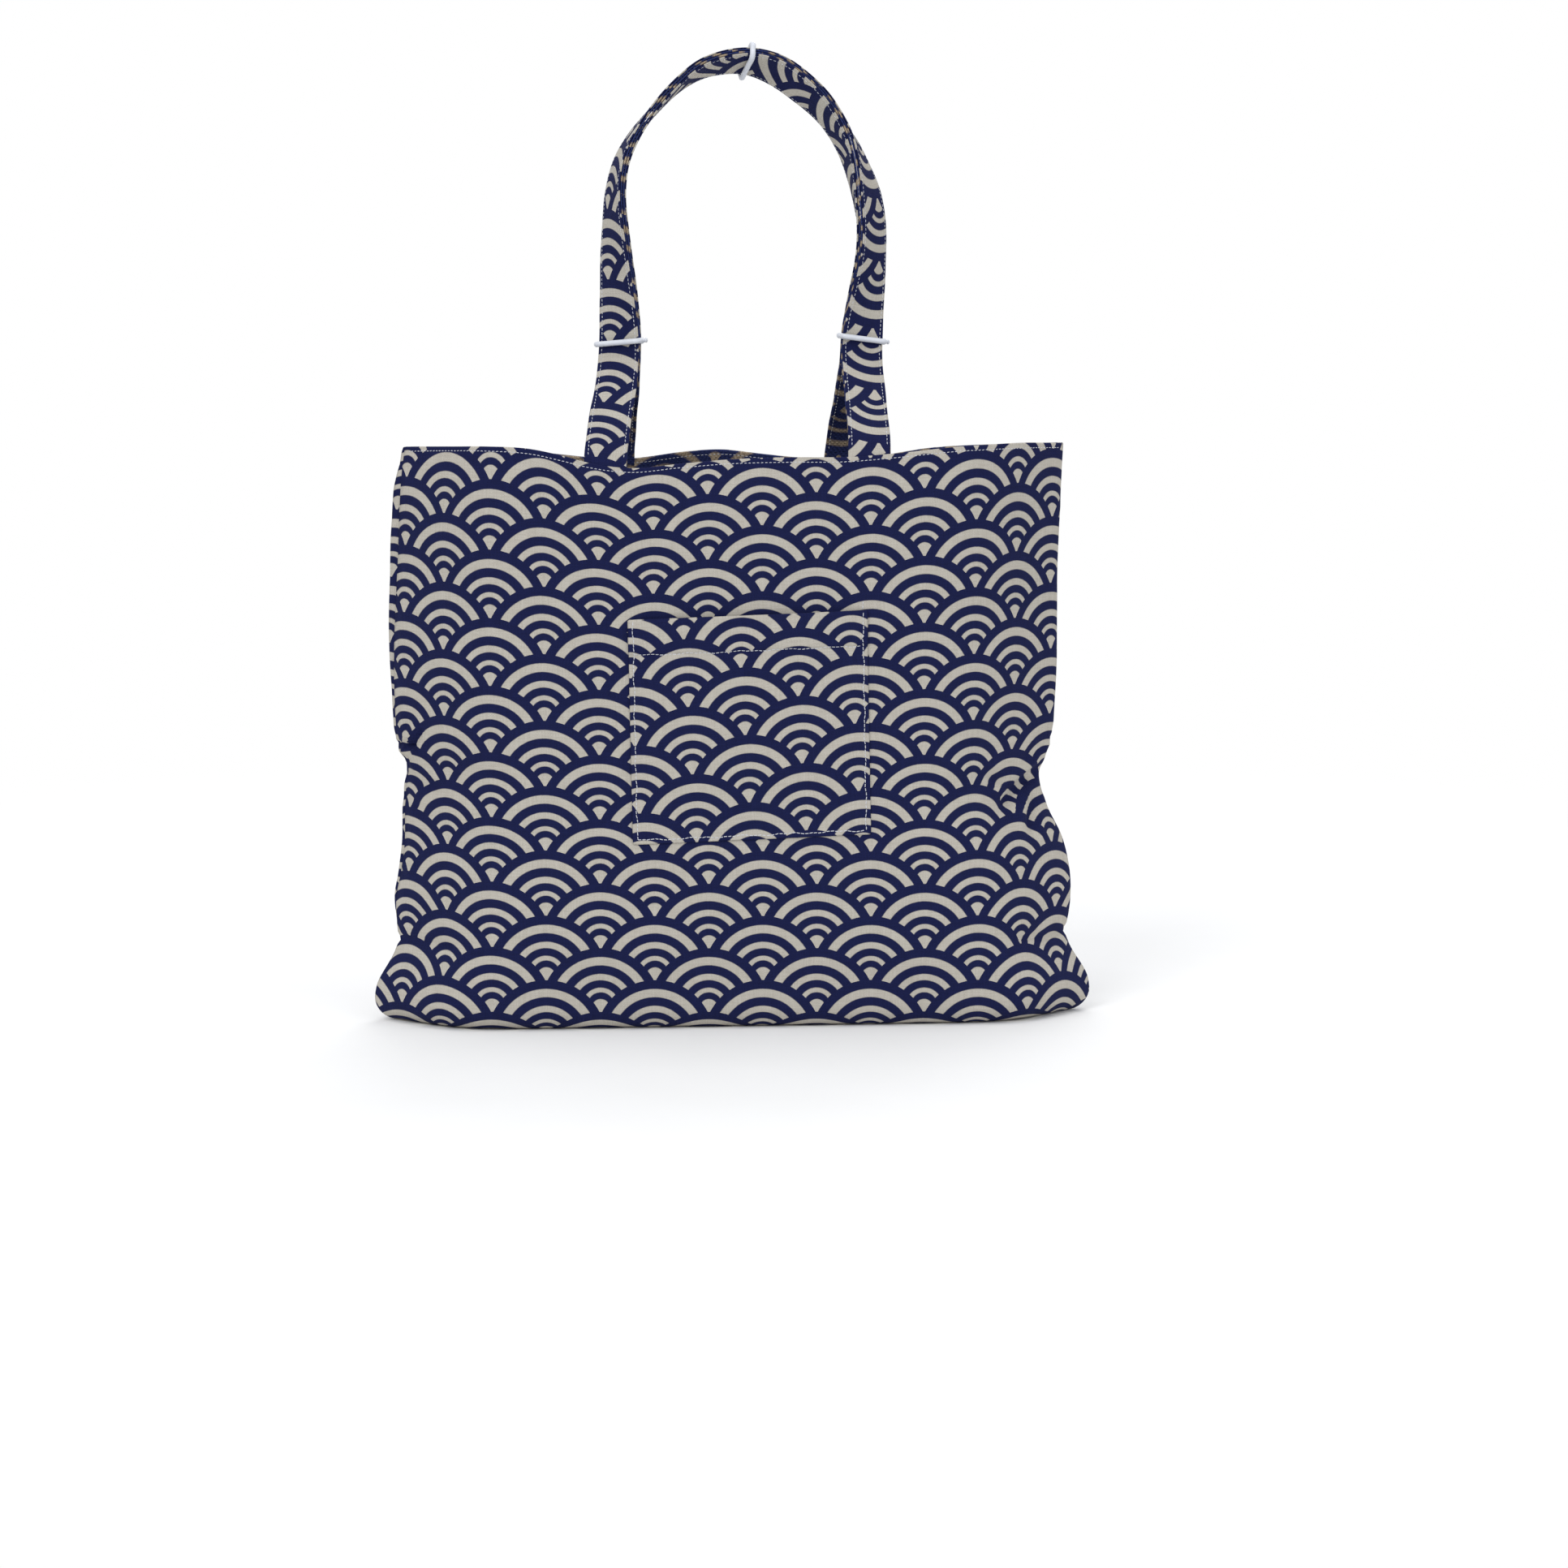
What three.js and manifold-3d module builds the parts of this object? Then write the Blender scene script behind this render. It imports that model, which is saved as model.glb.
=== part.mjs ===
// Reversible shopping bag, standing open with its printed cotton side out and its printed jute side as the lining.
// Millimetres, +Z up, +X to the right seen from the front. The front face looks along -Y. The origin is on the
// floor under the middle of the bag.
//
// Each print is a bag of its own: a front panel and a back panel, joined at the side seams and along the middle
// of the base, with a patch pocket. The two bags sit one in the other and share the rim. Each handle is a strip of
// cotton sewn to a strip of jute. Three plastic loops tie the two handles together, so everything above the two
// lower loops nods to the front and to the back as one arch.
import * as THREE from 'three';
import { mergeVertices } from 'three/addons/utils/BufferGeometryUtils.js';
import Module from 'manifold-3d';

const wasm = await Module();
wasm.setup();

// Cloth and fits
const CLOTH = 1.1;
const CLEARANCE = 0.3;

// Bag body: overall sizes
const BAG_HEIGHT = 350;
const RIM_WIDTH = 400;
const RIM_SAG = 7;
const MOUTH_GAP = 84;
const NECK_DROP = 25;
const NECK_WIDTH = 404;
const NECK_DEPTH = 90;
const CHEST_DROP = 75;
const CHEST_WIDTH = 406;
const CHEST_DEPTH = 93;
const WAIST_HEIGHT = 150;
const WAIST_WIDTH = 387;
const WAIST_DEPTH = 98;
const HIP_HEIGHT = 74;
const HIP_WIDTH = 411;
const HIP_DEPTH = 110;
const CROSS_SEAM_HEIGHT = 50;
const CROSS_SEAM_WIDTH = 409;
const BASE_DEPTH = 104;
const EAR_HEIGHT = 22;
const EAR_WIDTH = 440;
const BASE_ROUNDING = 14;

// Patch pockets: the cotton one on the outside of the front, the jute one on the lining of the back
const POCKET_WIDTH = 138;
const POCKET_HEIGHT = 130;
const POCKET_CENTRE_X = 4;
const POCKET_CENTRE_Z = 189;
const POCKET_TILT = THREE.MathUtils.degToRad(1.3);
const POCKET_GAPE = 6;
const HEM_DEPTH = 20;
const HEM_FOLD = 0.6;

// Handles
const STRAP_WIDTH = 25;
const FRONT_FEET = { spacing: 156, middle: -3.8 };
const BACK_FEET = { spacing: 140, middle: 0 };
const LEFT_TIE_X = -70.5;
const RIGHT_TIE_X = 77;
const TIE_HEIGHT = 414;
const ARCH_HEIGHT = 583;
const ARCH_TOP_X = 8;
const SWING = THREE.MathUtils.degToRad(120);

// Plastic loops
const TIE_DIAMETER = 4;
const TIE_BEND = 2.6;
const KNOB_RADIUS = 2.9;

// Facets
const PANEL_COLUMNS = 26;
const WALL_ROWS = 13;
const ROUNDING_ROWS = 3;
const ARCH_STATIONS = 36;
const LEG_STATIONS = 7;

// What follows from the sizes above
const LAYER = CLOTH + CLEARANCE;
const STRAP_STACK = 4 * CLOTH + 3 * CLEARANCE;
const ROOF_SLOPE = SWING - Math.PI / 2;
const KNUCKLE_DROP = (STRAP_STACK / 2 + CLEARANCE) / Math.cos(ROOF_SLOPE);
const TIE_REACH = STRAP_STACK / 2 + CLEARANCE + TIE_DIAMETER;
const PIVOT_HEIGHT = TIE_HEIGHT + TIE_DIAMETER / 2 + KNUCKLE_DROP + TIE_REACH * Math.tan(ROOF_SLOPE);

const cotton = { color: 0x4a4a6c, roughness: 0.85, metalness: 0 };
const jute = { color: 0x6b6470, roughness: 0.95, metalness: 0 };
const plastic = { color: 0xf2f2f2, roughness: 0.45, metalness: 0 };

// The body's outline at a few heights. "square" flattens the front, and "pinch" draws the side seams to a point:
// 1 is the sharp corner of the rim and of the ears, and 0.55 the round side of the filled body.
const BODY_STATIONS = [
  { height: 0, width: EAR_WIDTH, depth: BASE_DEPTH, square: 5.5, pinch: 1 },
  { height: EAR_HEIGHT, width: EAR_WIDTH, depth: BASE_DEPTH, square: 5.5, pinch: 1 },
  { height: CROSS_SEAM_HEIGHT, width: CROSS_SEAM_WIDTH, depth: HIP_DEPTH, square: 4.8, pinch: 0.85 },
  { height: HIP_HEIGHT, width: HIP_WIDTH, depth: HIP_DEPTH, square: 4.4, pinch: 0.8 },
  { height: WAIST_HEIGHT, width: WAIST_WIDTH, depth: WAIST_DEPTH, square: 4.4, pinch: 0.75 },
  { height: BAG_HEIGHT - CHEST_DROP, width: CHEST_WIDTH, depth: CHEST_DEPTH, square: 4.4, pinch: 0.8 },
  { height: BAG_HEIGHT - NECK_DROP, width: NECK_WIDTH, depth: NECK_DEPTH, square: 3.6, pinch: 0.9 },
  { height: BAG_HEIGHT, width: RIM_WIDTH, depth: MOUTH_GAP, square: 2.6, pinch: 1 },
];
const bodyOutline = new THREE.CubicInterpolant(
  new Float64Array(BODY_STATIONS.map((station) => station.height)),
  new Float64Array(BODY_STATIONS.flatMap((station) => [station.width / 2, station.depth / 2, station.square, station.pinch])),
  4,
  new Float64Array(4),
);

// A closed solid between two grids of points that face each other, such as the two faces of a piece of cloth.
function thickSheet(outer, inner) {
  const positions = [];
  const quad = (a, b, c, d) => {
    for (const point of [a, b, c, a, c, d]) positions.push(point.x, point.y, point.z);
  };
  const lastRow = outer.length - 1;
  const lastColumn = outer[0].length - 1;
  for (let row = 0; row < lastRow; row += 1) {
    for (let column = 0; column < lastColumn; column += 1) {
      quad(outer[row][column], outer[row][column + 1], outer[row + 1][column + 1], outer[row + 1][column]);
      quad(inner[row][column], inner[row + 1][column], inner[row + 1][column + 1], inner[row][column + 1]);
    }
    quad(outer[row][0], outer[row + 1][0], inner[row + 1][0], inner[row][0]);
    quad(outer[row][lastColumn], inner[row][lastColumn], inner[row + 1][lastColumn], outer[row + 1][lastColumn]);
  }
  for (let column = 0; column < lastColumn; column += 1) {
    quad(outer[0][column], inner[0][column], inner[0][column + 1], outer[0][column + 1]);
    quad(outer[lastRow][column], outer[lastRow][column + 1], inner[lastRow][column + 1], inner[lastRow][column]);
  }
  return closedGeometry(positions);
}

// Merges the corners, drops triangles without area, and turns the faces outwards.
function closedGeometry(positions) {
  const loose = new THREE.BufferGeometry();
  loose.setAttribute('position', new THREE.Float32BufferAttribute(positions, 3));
  const merged = mergeVertices(loose, 1e-3);
  const corners = merged.getAttribute('position');
  const kept = [];
  let volume = 0;
  const [a, b, c] = [new THREE.Vector3(), new THREE.Vector3(), new THREE.Vector3()];
  for (let start = 0; start < merged.index.count; start += 3) {
    const [i, j, k] = [0, 1, 2].map((step) => merged.index.getX(start + step));
    if (i === j || j === k || k === i) continue;
    kept.push(i, j, k);
    a.fromBufferAttribute(corners, i);
    b.fromBufferAttribute(corners, j);
    c.fromBufferAttribute(corners, k);
    volume += a.dot(b.cross(c));
  }
  if (volume < 0) kept.reverse();
  merged.setIndex(kept);
  merged.computeVertexNormals();
  return merged;
}

function toManifold(geometry) {
  const bare = geometry.clone();
  bare.deleteAttribute('normal');
  bare.deleteAttribute('uv');
  const merged = mergeVertices(bare, 1e-4);
  return new wasm.Manifold(new wasm.Mesh({
    numProp: 3,
    vertProperties: new Float32Array(merged.getAttribute('position').array),
    triVerts: new Uint32Array(merged.index.array),
  }));
}

function fromManifold(solid) {
  const mesh = solid.getMesh();
  const geometry = new THREE.BufferGeometry();
  geometry.setAttribute('position', new THREE.Float32BufferAttribute(mesh.vertProperties, 3));
  geometry.setIndex(Array.from(mesh.triVerts));
  geometry.computeVertexNormals();
  return geometry;
}

function piece(name, geometry, finish) {
  const mesh = new THREE.Mesh(geometry, new THREE.MeshStandardMaterial(finish));
  mesh.name = name;
  return mesh;
}

const mirrored = (grid) => grid.map((row) => row.map((point) => new THREE.Vector3(point.x, -point.y, point.z)));

// Body walls

// The front half of the outline at a height: t is -1 at the left seam and 1 at the right seam.
function outlinePoint(outline, t) {
  const [halfWidth, halfDepth, square, pinch] = outline;
  const s = Math.sin((t * Math.PI) / 2);
  const fullness = Math.max(1 - Math.abs(s) ** square, 0) ** pinch;
  return new THREE.Vector2(halfWidth * s, -halfDepth * fullness);
}

// The same outline drawn in by a distance, measured square to the cloth.
function insetPoint(outline, t, inset) {
  const step = 1e-4;
  const ahead = outlinePoint(outline, Math.min(t + step, 1));
  const behind = outlinePoint(outline, Math.max(t - step, -1));
  const along = ahead.sub(behind).normalize();
  return outlinePoint(outline, t).add(new THREE.Vector2(-along.y, along.x).multiplyScalar(inset));
}

// Halves the span between two values until the test, false at the low end and true at the high end, turns.
function bisect(low, high, test) {
  for (let turn = 0; turn < 45; turn += 1) {
    const middle = (low + high) / 2;
    if (test(middle)) high = middle;
    else low = middle;
  }
  return (low + high) / 2;
}

const outlineAt = (height) => Array.from(bodyOutline.evaluate(height));

// How far round the outline the cloth runs before it meets the other half at the seam.
const seamReach = (outline, inset) =>
  -bisect(-1, 0, (t) => insetPoint(outline, t, inset).y < -CLEARANCE / 2);

const rimSag = (x) => RIM_SAG * Math.max(1 - (x / (RIM_WIDTH / 2)) ** 2, 0);
const rimHeight = (x) => BAG_HEIGHT - rimSag(x);

function outlineRow(height, outlineInset) {
  const outline = outlineAt(height);
  const reach = seamReach(outline, outlineInset);
  return Array.from({ length: PANEL_COLUMNS + 1 }, (_, column) =>
    insetPoint(outline, reach * ((2 * column) / PANEL_COLUMNS - 1), outlineInset));
}

// One face of the cloth of a front panel, at a distance inside the bag's outer face: the middle of the base,
// the base, the rounded fold and the wall up to the rim.
function panelFace(inset) {
  const rows = [];
  const floor = outlineRow(0, BASE_ROUNDING);
  rows.push(floor.map((point) => new THREE.Vector3(point.x, -CLEARANCE / 2, inset)));
  for (let step = 0; step < ROUNDING_ROWS; step += 1) {
    const angle = (step / ROUNDING_ROWS) * (Math.PI / 2);
    const radius = BASE_ROUNDING - inset;
    const height = inset + radius * (1 - Math.cos(angle));
    const row = step === 0 ? floor : outlineRow(height, inset + radius * (1 - Math.sin(angle)));
    rows.push(row.map((point) => new THREE.Vector3(point.x, point.y, height)));
  }
  for (let step = 0; step <= WALL_ROWS; step += 1) {
    const rise = (step / WALL_ROWS) ** 1.35;
    const height = BASE_ROUNDING + (BAG_HEIGHT - BASE_ROUNDING) * rise;
    rows.push(outlineRow(height, inset).map(
      (point) => new THREE.Vector3(point.x, point.y, height - rimSag(point.x) * rise)));
  }
  return rows;
}

function panel(name, inset, back, finish) {
  const faces = [panelFace(inset), panelFace(inset + CLOTH)];
  const [outer, inner] = back ? faces.map(mirrored) : faces;
  return piece(name, thickSheet(outer, inner), finish);
}

// Depth of the front wall at a place on it, at a distance inside the bag's outer face
function wallDepth(x, z, inset) {
  const sag = rimSag(x) / (BAG_HEIGHT - BASE_ROUNDING);
  const height = (z - sag * BASE_ROUNDING) / (1 - sag);
  const outline = outlineAt(Math.min(height, BAG_HEIGHT));
  const t = bisect(-1, 1, (value) => insetPoint(outline, value, inset).x > x);
  return insetPoint(outline, t, inset).y;
}

// Patch pockets

// One face of a pocket's cloth. It lies on the wall along its three sewn edges and gapes at its mouth, where the
// hem is folded. "away" is -1 for a pocket that stands off the front wall's outer face and 1 for its inner face.
function pocketFace(wallInset, away, faceOffset, hemFold) {
  const hemRow = 1 - HEM_DEPTH / POCKET_HEIGHT;
  const rowsUp = [0, 0.12, 0.26, 0.4, 0.55, 0.7, hemRow, hemRow + 0.01, 1];
  const columns = 12;
  return rowsUp.map((v, rowIndex) => Array.from({ length: columns + 1 }, (_, column) => {
    const u = (2 * column) / columns - 1;
    const across = (u * POCKET_WIDTH) / 2;
    const up = (v - 0.5) * POCKET_HEIGHT;
    const x = POCKET_CENTRE_X + across * Math.cos(POCKET_TILT) - up * Math.sin(POCKET_TILT);
    const z = POCKET_CENTRE_Z + across * Math.sin(POCKET_TILT) + up * Math.cos(POCKET_TILT);
    const gape = POCKET_GAPE * (1 - Math.abs(u) ** 3) * THREE.MathUtils.smoothstep(v, 0, 0.6);
    const fold = rowIndex >= rowsUp.length - 2 ? hemFold : 0;
    return new THREE.Vector3(x, wallDepth(x, z, wallInset) + away * (CLEARANCE + gape + faceOffset + fold), z);
  }));
}

function pocket(name, wallInset, away, finish) {
  const under = pocketFace(wallInset, away, 0, 0);
  const over = pocketFace(wallInset, away, CLOTH, HEM_FOLD);
  const grids = away < 0 ? [over, under] : [mirrored(over), mirrored(under)];
  return piece(name, thickSheet(...grids), finish);
}

// Handles

// The four layers of the tied handles, from the outside of the front handle to the outside of the back handle.
// "offset" is the middle of the layer from the middle of the stack.
const handleLayers = [
  { handle: 'front', cloth: 'cotton', offset: 1.5 * LAYER, finish: cotton },
  { handle: 'front', cloth: 'jute', offset: 0.5 * LAYER, finish: jute },
  { handle: 'back', cloth: 'jute', offset: -0.5 * LAYER, finish: jute },
  { handle: 'back', cloth: 'cotton', offset: -1.5 * LAYER, finish: cotton },
];

// One face of a strap: a row of two points at each station, which holds the strap's middle, the direction across
// the strap and the direction off its face.
const strapFace = (stations, offset) => stations.map(({ middle, across, off }) =>
  [-STRAP_WIDTH / 2, STRAP_WIDTH / 2].map((half) =>
    middle.clone().addScaledVector(across, half).addScaledVector(off, offset)));

// A leg runs from the rim, where its two strips stand on the panels they are sewn to, to just above the tie.
function legStations(front, left) {
  const feet = front ? FRONT_FEET : BACK_FEET;
  const footX = feet.middle + ((left ? -1 : 1) * feet.spacing) / 2;
  const outline = outlineAt(BAG_HEIGHT);
  const t = bisect(-1, 1, (value) => insetPoint(outline, value, CLOTH + CLEARANCE / 2).x > footX);
  const foot = insetPoint(outline, t, CLOTH + CLEARANCE / 2);
  const beside = insetPoint(outline, t + 0.01, CLOTH + CLEARANCE / 2).sub(foot);
  const footYaw = Math.atan2(beside.y, beside.x);
  const start = new THREE.Vector3(foot.x, foot.y, rimHeight(foot.x) + CLEARANCE);
  const end = new THREE.Vector3(left ? LEFT_TIE_X : RIGHT_TIE_X, -LAYER, TIE_HEIGHT - TIE_DIAMETER);
  const third = (end.z - start.z) / 3;
  const curve = new THREE.CubicBezierCurve3(
    start,
    start.clone().add(new THREE.Vector3(0, 0, third)),
    end.clone().sub(new THREE.Vector3(0, 0, third)),
    end,
  );
  const stations = [];
  for (let step = 0; step < LEG_STATIONS; step += 1) {
    const share = step / (LEG_STATIONS - 1);
    const yaw = footYaw * (1 - share);
    const along = curve.getTangent(share);
    const across = new THREE.Vector3(Math.cos(yaw), Math.sin(yaw), 0);
    across.addScaledVector(along, -across.dot(along)).normalize();
    stations.push({ middle: curve.getPoint(share), across, off: along.clone().cross(across).negate() });
  }
  const top = end.clone().setZ(PIVOT_HEIGHT - KNUCKLE_DROP);
  stations.push({ middle: top, across: new THREE.Vector3(1, 0, 0), off: new THREE.Vector3(0, -1, 0) });
  return stations;
}

function legs() {
  const pieces = [];
  for (const layer of handleLayers) {
    const front = layer.handle === 'front';
    // Within its own strap a strip lies half a layer to either side of the strap's middle.
    const offset = (layer.cloth === 'cotton' ? 0.5 : -0.5) * LAYER;
    for (const side of ['left', 'right']) {
      const stations = legStations(front, side === 'left');
      const faces = [offset + CLOTH / 2, offset - CLOTH / 2].map((off) => strapFace(stations, off));
      for (const face of faces) {
        for (const corner of face[0]) corner.z = rimHeight(corner.x) + CLEARANCE;
        for (const corner of face.at(-1)) corner.z -= Math.abs(corner.y) * Math.tan(ROOF_SLOPE);
      }
      const [outer, inner] = front ? faces : faces.map(mirrored);
      pieces.push(piece(`${layer.handle}_${side}_leg_${layer.cloth}`, thickSheet(outer, inner), layer.finish));
    }
  }
  return pieces;
}

// The tied handles above the pivot, up the left side and down the right. "rise" is a share of the height from the
// pivot to the top, "inward" a share of the way from the tie to the top, and "turn" how far the stack has turned.
// At 0 degrees the front handle's cotton looks to the front, at 90 it looks out of the arch, and past that it
// looks out and back, so that the inside of the arch shows from the front. It stays straight above the ties.
const ARCH_LEFT = [
  { inward: 0, rise: 0, turn: 0 },
  { inward: 0, rise: 0.09, turn: 0 },
  { inward: -0.03, rise: 0.33, turn: 50 },
  { inward: 0.02, rise: 0.6, turn: 84 },
  { inward: 0.22, rise: 0.8, turn: 95 },
  { inward: 0.59, rise: 0.95, turn: 106 },
  { inward: 1, rise: 1, turn: 120 },
];
const ARCH_RIGHT = [
  { inward: 0.55, rise: 0.93, turn: 128 },
  { inward: 0.2, rise: 0.76, turn: 122 },
  { inward: 0, rise: 0.54, turn: 84 },
  { inward: -0.07, rise: 0.27, turn: 38 },
  { inward: 0, rise: 0.09, turn: 0 },
  { inward: 0, rise: 0, turn: 0 },
];
const fromTie = (tieX) => ({ inward, rise, turn }) => ({
  x: THREE.MathUtils.lerp(tieX, ARCH_TOP_X, inward),
  z: THREE.MathUtils.lerp(PIVOT_HEIGHT, ARCH_HEIGHT, rise),
  turn,
});
const ARCH_LINE = [...ARCH_LEFT.map(fromTie(LEFT_TIE_X)), ...ARCH_RIGHT.map(fromTie(RIGHT_TIE_X))];

const archMiddle = new THREE.CatmullRomCurve3(ARCH_LINE.map(({ x, z }) => new THREE.Vector3(x, 0, z)));
const archTurn = new THREE.LinearInterpolant(
  new Float64Array(ARCH_LINE.map((_, index) => index / (ARCH_LINE.length - 1))),
  new Float64Array(ARCH_LINE.map(({ turn }) => THREE.MathUtils.degToRad(turn))),
  1,
  new Float64Array(1),
);

function archStation(share) {
  const middle = archMiddle.getPoint(share);
  const along = archMiddle.getTangent(share);
  if (share === 0) along.set(0, 0, 1);
  if (share === 1) along.set(0, 0, -1);
  const outward = new THREE.Vector3(-along.z, 0, along.x);
  const turn = archTurn.evaluate(share)[0];
  const off = new THREE.Vector3(0, -Math.cos(turn), 0).addScaledVector(outward, Math.sin(turn));
  return { middle, across: off.clone().cross(along), off, along };
}

function arch() {
  const stations = Array.from({ length: ARCH_STATIONS + 1 }, (_, step) => archStation(step / ARCH_STATIONS));
  const knuckle = (y) => Math.sqrt(Math.max((STRAP_STACK / 2) ** 2 - y ** 2, 0));
  return handleLayers.map((layer) => {
    const faces = [layer.offset + CLOTH / 2, layer.offset - CLOTH / 2].map((off) => strapFace(stations, off));
    for (const face of faces) {
      for (const corner of [...face[0], ...face.at(-1)]) corner.z = PIVOT_HEIGHT - knuckle(corner.y);
    }
    return piece(`${layer.handle}_arch_${layer.cloth}`, thickSheet(...faces), layer.finish);
  });
}

// Plastic loops

// A loop lies round the stack of straps at a station, with a knob where its tail is pushed through its head.
function tie(name, station, knobSide) {
  const halfAcross = STRAP_WIDTH / 2 + CLEARANCE + TIE_DIAMETER / 2;
  const halfOff = STRAP_STACK / 2 + CLEARANCE + TIE_DIAMETER / 2;
  const sides = 8;
  const bendSteps = 4;
  const { middle, across, off } = station;
  const along = across.clone().cross(off);
  const rings = [];
  for (let corner = 0; corner < 4; corner += 1) {
    const signAcross = corner === 0 || corner === 3 ? 1 : -1;
    const signOff = corner < 2 ? 1 : -1;
    for (let step = 0; step <= bendSteps; step += 1) {
      const angle = (corner + step / bendSteps) * (Math.PI / 2);
      const out = across.clone().multiplyScalar(Math.cos(angle)).addScaledVector(off, Math.sin(angle));
      const centre = middle.clone()
        .addScaledVector(across, signAcross * (halfAcross - TIE_BEND))
        .addScaledVector(off, signOff * (halfOff - TIE_BEND))
        .addScaledVector(out, TIE_BEND);
      rings.push(Array.from({ length: sides + 1 }, (_, side) => {
        const round = ((side % sides) / sides) * 2 * Math.PI;
        return centre.clone()
          .addScaledVector(out, (Math.cos(round) * TIE_DIAMETER) / 2)
          .addScaledVector(along, (Math.sin(round) * TIE_DIAMETER) / 2);
      }));
    }
  }
  const positions = [];
  rings.forEach((ring, index) => {
    const next = rings[(index + 1) % rings.length];
    for (let side = 0; side < sides; side += 1) {
      for (const point of [ring[side], next[side], next[side + 1], ring[side], next[side + 1], ring[side + 1]]) {
        positions.push(point.x, point.y, point.z);
      }
    }
  });
  const knob = new THREE.SphereGeometry(KNOB_RADIUS, 10, 8);
  const knobPlace = middle.clone().addScaledVector(across, knobSide * (halfAcross + TIE_DIAMETER / 2));
  knob.translate(knobPlace.x, knobPlace.y, knobPlace.z);
  const whole = toManifold(closedGeometry(positions)).add(toManifold(knob));
  return piece(name, fromManifold(whole), plastic);
}

const tieStation = (x) => ({
  middle: new THREE.Vector3(x, 0, TIE_HEIGHT),
  across: new THREE.Vector3(1, 0, 0),
  off: new THREE.Vector3(0, -1, 0),
});

// Assembly
const lining = LAYER;
const liningFace = LAYER + CLOTH;

const body = new THREE.Group();
body.add(
  panel('cotton_front_panel', 0, false, cotton),
  panel('cotton_back_panel', 0, true, cotton),
  panel('jute_front_panel', lining, false, jute),
  panel('jute_back_panel', lining, true, jute),
  pocket('cotton_pocket', 0, -1, cotton),
  pocket('jute_pocket', liningFace, 1, jute),
  ...legs(),
  tie('left_tie', tieStation(LEFT_TIE_X), 1),
  tie('right_tie', tieStation(RIGHT_TIE_X), -1),
);

const handleArch = new THREE.Group();
handleArch.add(...arch(), tie('top_tie', archStation(0.5), -1));

const bag = new THREE.Group();
bag.add(body, handleArch);

export default bag;
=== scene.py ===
# %% [markdown]
# # A reversible shopping bag, from cut cloth to tied handles
#
# This lesson dresses the plain CAD frame of a cotton and jute shopper as the real thing. The frame says where
# every body is and how it moves. Here the cloth gets its folds, its seams, its stitching and its print.
#
# The first cell loads the frame. Its parts are kept, and each is hidden when the cloth that replaces it is made.

# %% Load the frame
import math

import bmesh
import bpy
import numpy as np
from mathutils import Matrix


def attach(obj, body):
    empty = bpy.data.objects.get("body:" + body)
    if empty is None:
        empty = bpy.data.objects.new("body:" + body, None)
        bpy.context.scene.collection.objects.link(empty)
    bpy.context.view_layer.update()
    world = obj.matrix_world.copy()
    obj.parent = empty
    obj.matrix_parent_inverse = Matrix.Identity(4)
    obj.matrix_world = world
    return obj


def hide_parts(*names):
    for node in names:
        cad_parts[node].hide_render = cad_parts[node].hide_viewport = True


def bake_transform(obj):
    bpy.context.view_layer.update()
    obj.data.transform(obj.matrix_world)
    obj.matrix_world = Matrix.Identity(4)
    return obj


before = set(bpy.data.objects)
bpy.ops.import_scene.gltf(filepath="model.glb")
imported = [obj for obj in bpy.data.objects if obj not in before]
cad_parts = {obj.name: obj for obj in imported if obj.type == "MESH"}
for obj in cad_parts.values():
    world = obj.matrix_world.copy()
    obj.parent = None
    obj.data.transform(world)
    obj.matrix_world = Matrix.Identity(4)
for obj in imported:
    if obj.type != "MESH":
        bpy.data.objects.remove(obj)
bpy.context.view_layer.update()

bpy.ops.object.select_all(action="DESELECT")

# %% [markdown]
# ## The camera
#
# A long lens three metres away keeps the sides of the bag almost parallel, as in a catalogue picture. The camera
# stands a little to the left and looks down a few degrees, so that the far rim just shows between the handles.

# %% Camera
lens = bpy.data.cameras.new("camera")
lens.sensor_width = 36
lens.lens = 113.56
LOOK_DOWN, LOOK_RIGHT = math.radians(7.519), math.radians(4.5766)
camera = bpy.data.objects.new("camera", lens)
camera.location = (-0.20927, -2.99269, 0.53874)
camera.rotation_euler = (math.pi / 2 - LOOK_DOWN, 0, -LOOK_RIGHT)
bpy.context.collection.objects.link(camera)
bpy.context.scene.camera = camera

# %% [markdown]
# ## Floor and light
#
# The floor is one large pale sheet that fades out before its edge. Big soft lamps are used because cloth is judged
# by its gentle folds, which a small lamp would turn into hard lines. The world shows as white to the camera and
# lights the bag more gently.

# %% Floor and lamps
def linear(hex_colour, alpha=1.0):
    """sRGB hex to the linear colour that Blender works in."""
    parts = [int(hex_colour[i:i + 2], 16) / 255 for i in (1, 3, 5)]
    return (*[c / 12.92 if c <= 0.04045 else ((c + 0.055) / 1.055) ** 2.4 for c in parts], alpha)


def add(tree, kind, *values, pins=(), **settings):
    """Adds a shader node with its settings, and fills its inputs in order, or by name or number through pins."""
    node = tree.nodes.new("ShaderNode" + kind)
    for key, value in settings.items():
        setattr(node, key, value)
    filled = [(place, value) for place, value in enumerate(values) if value is not None]
    for place, value in [*filled, *dict(pins).items()]:
        if isinstance(value, bpy.types.NodeSocket):
            tree.links.new(value, node.inputs[place])
        else:
            node.inputs[place].default_value = value
    return node


def new_material(name):
    material = bpy.data.materials.new(name)
    material.use_nodes = True
    material.node_tree.nodes.clear()
    return material, material.node_tree


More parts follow.
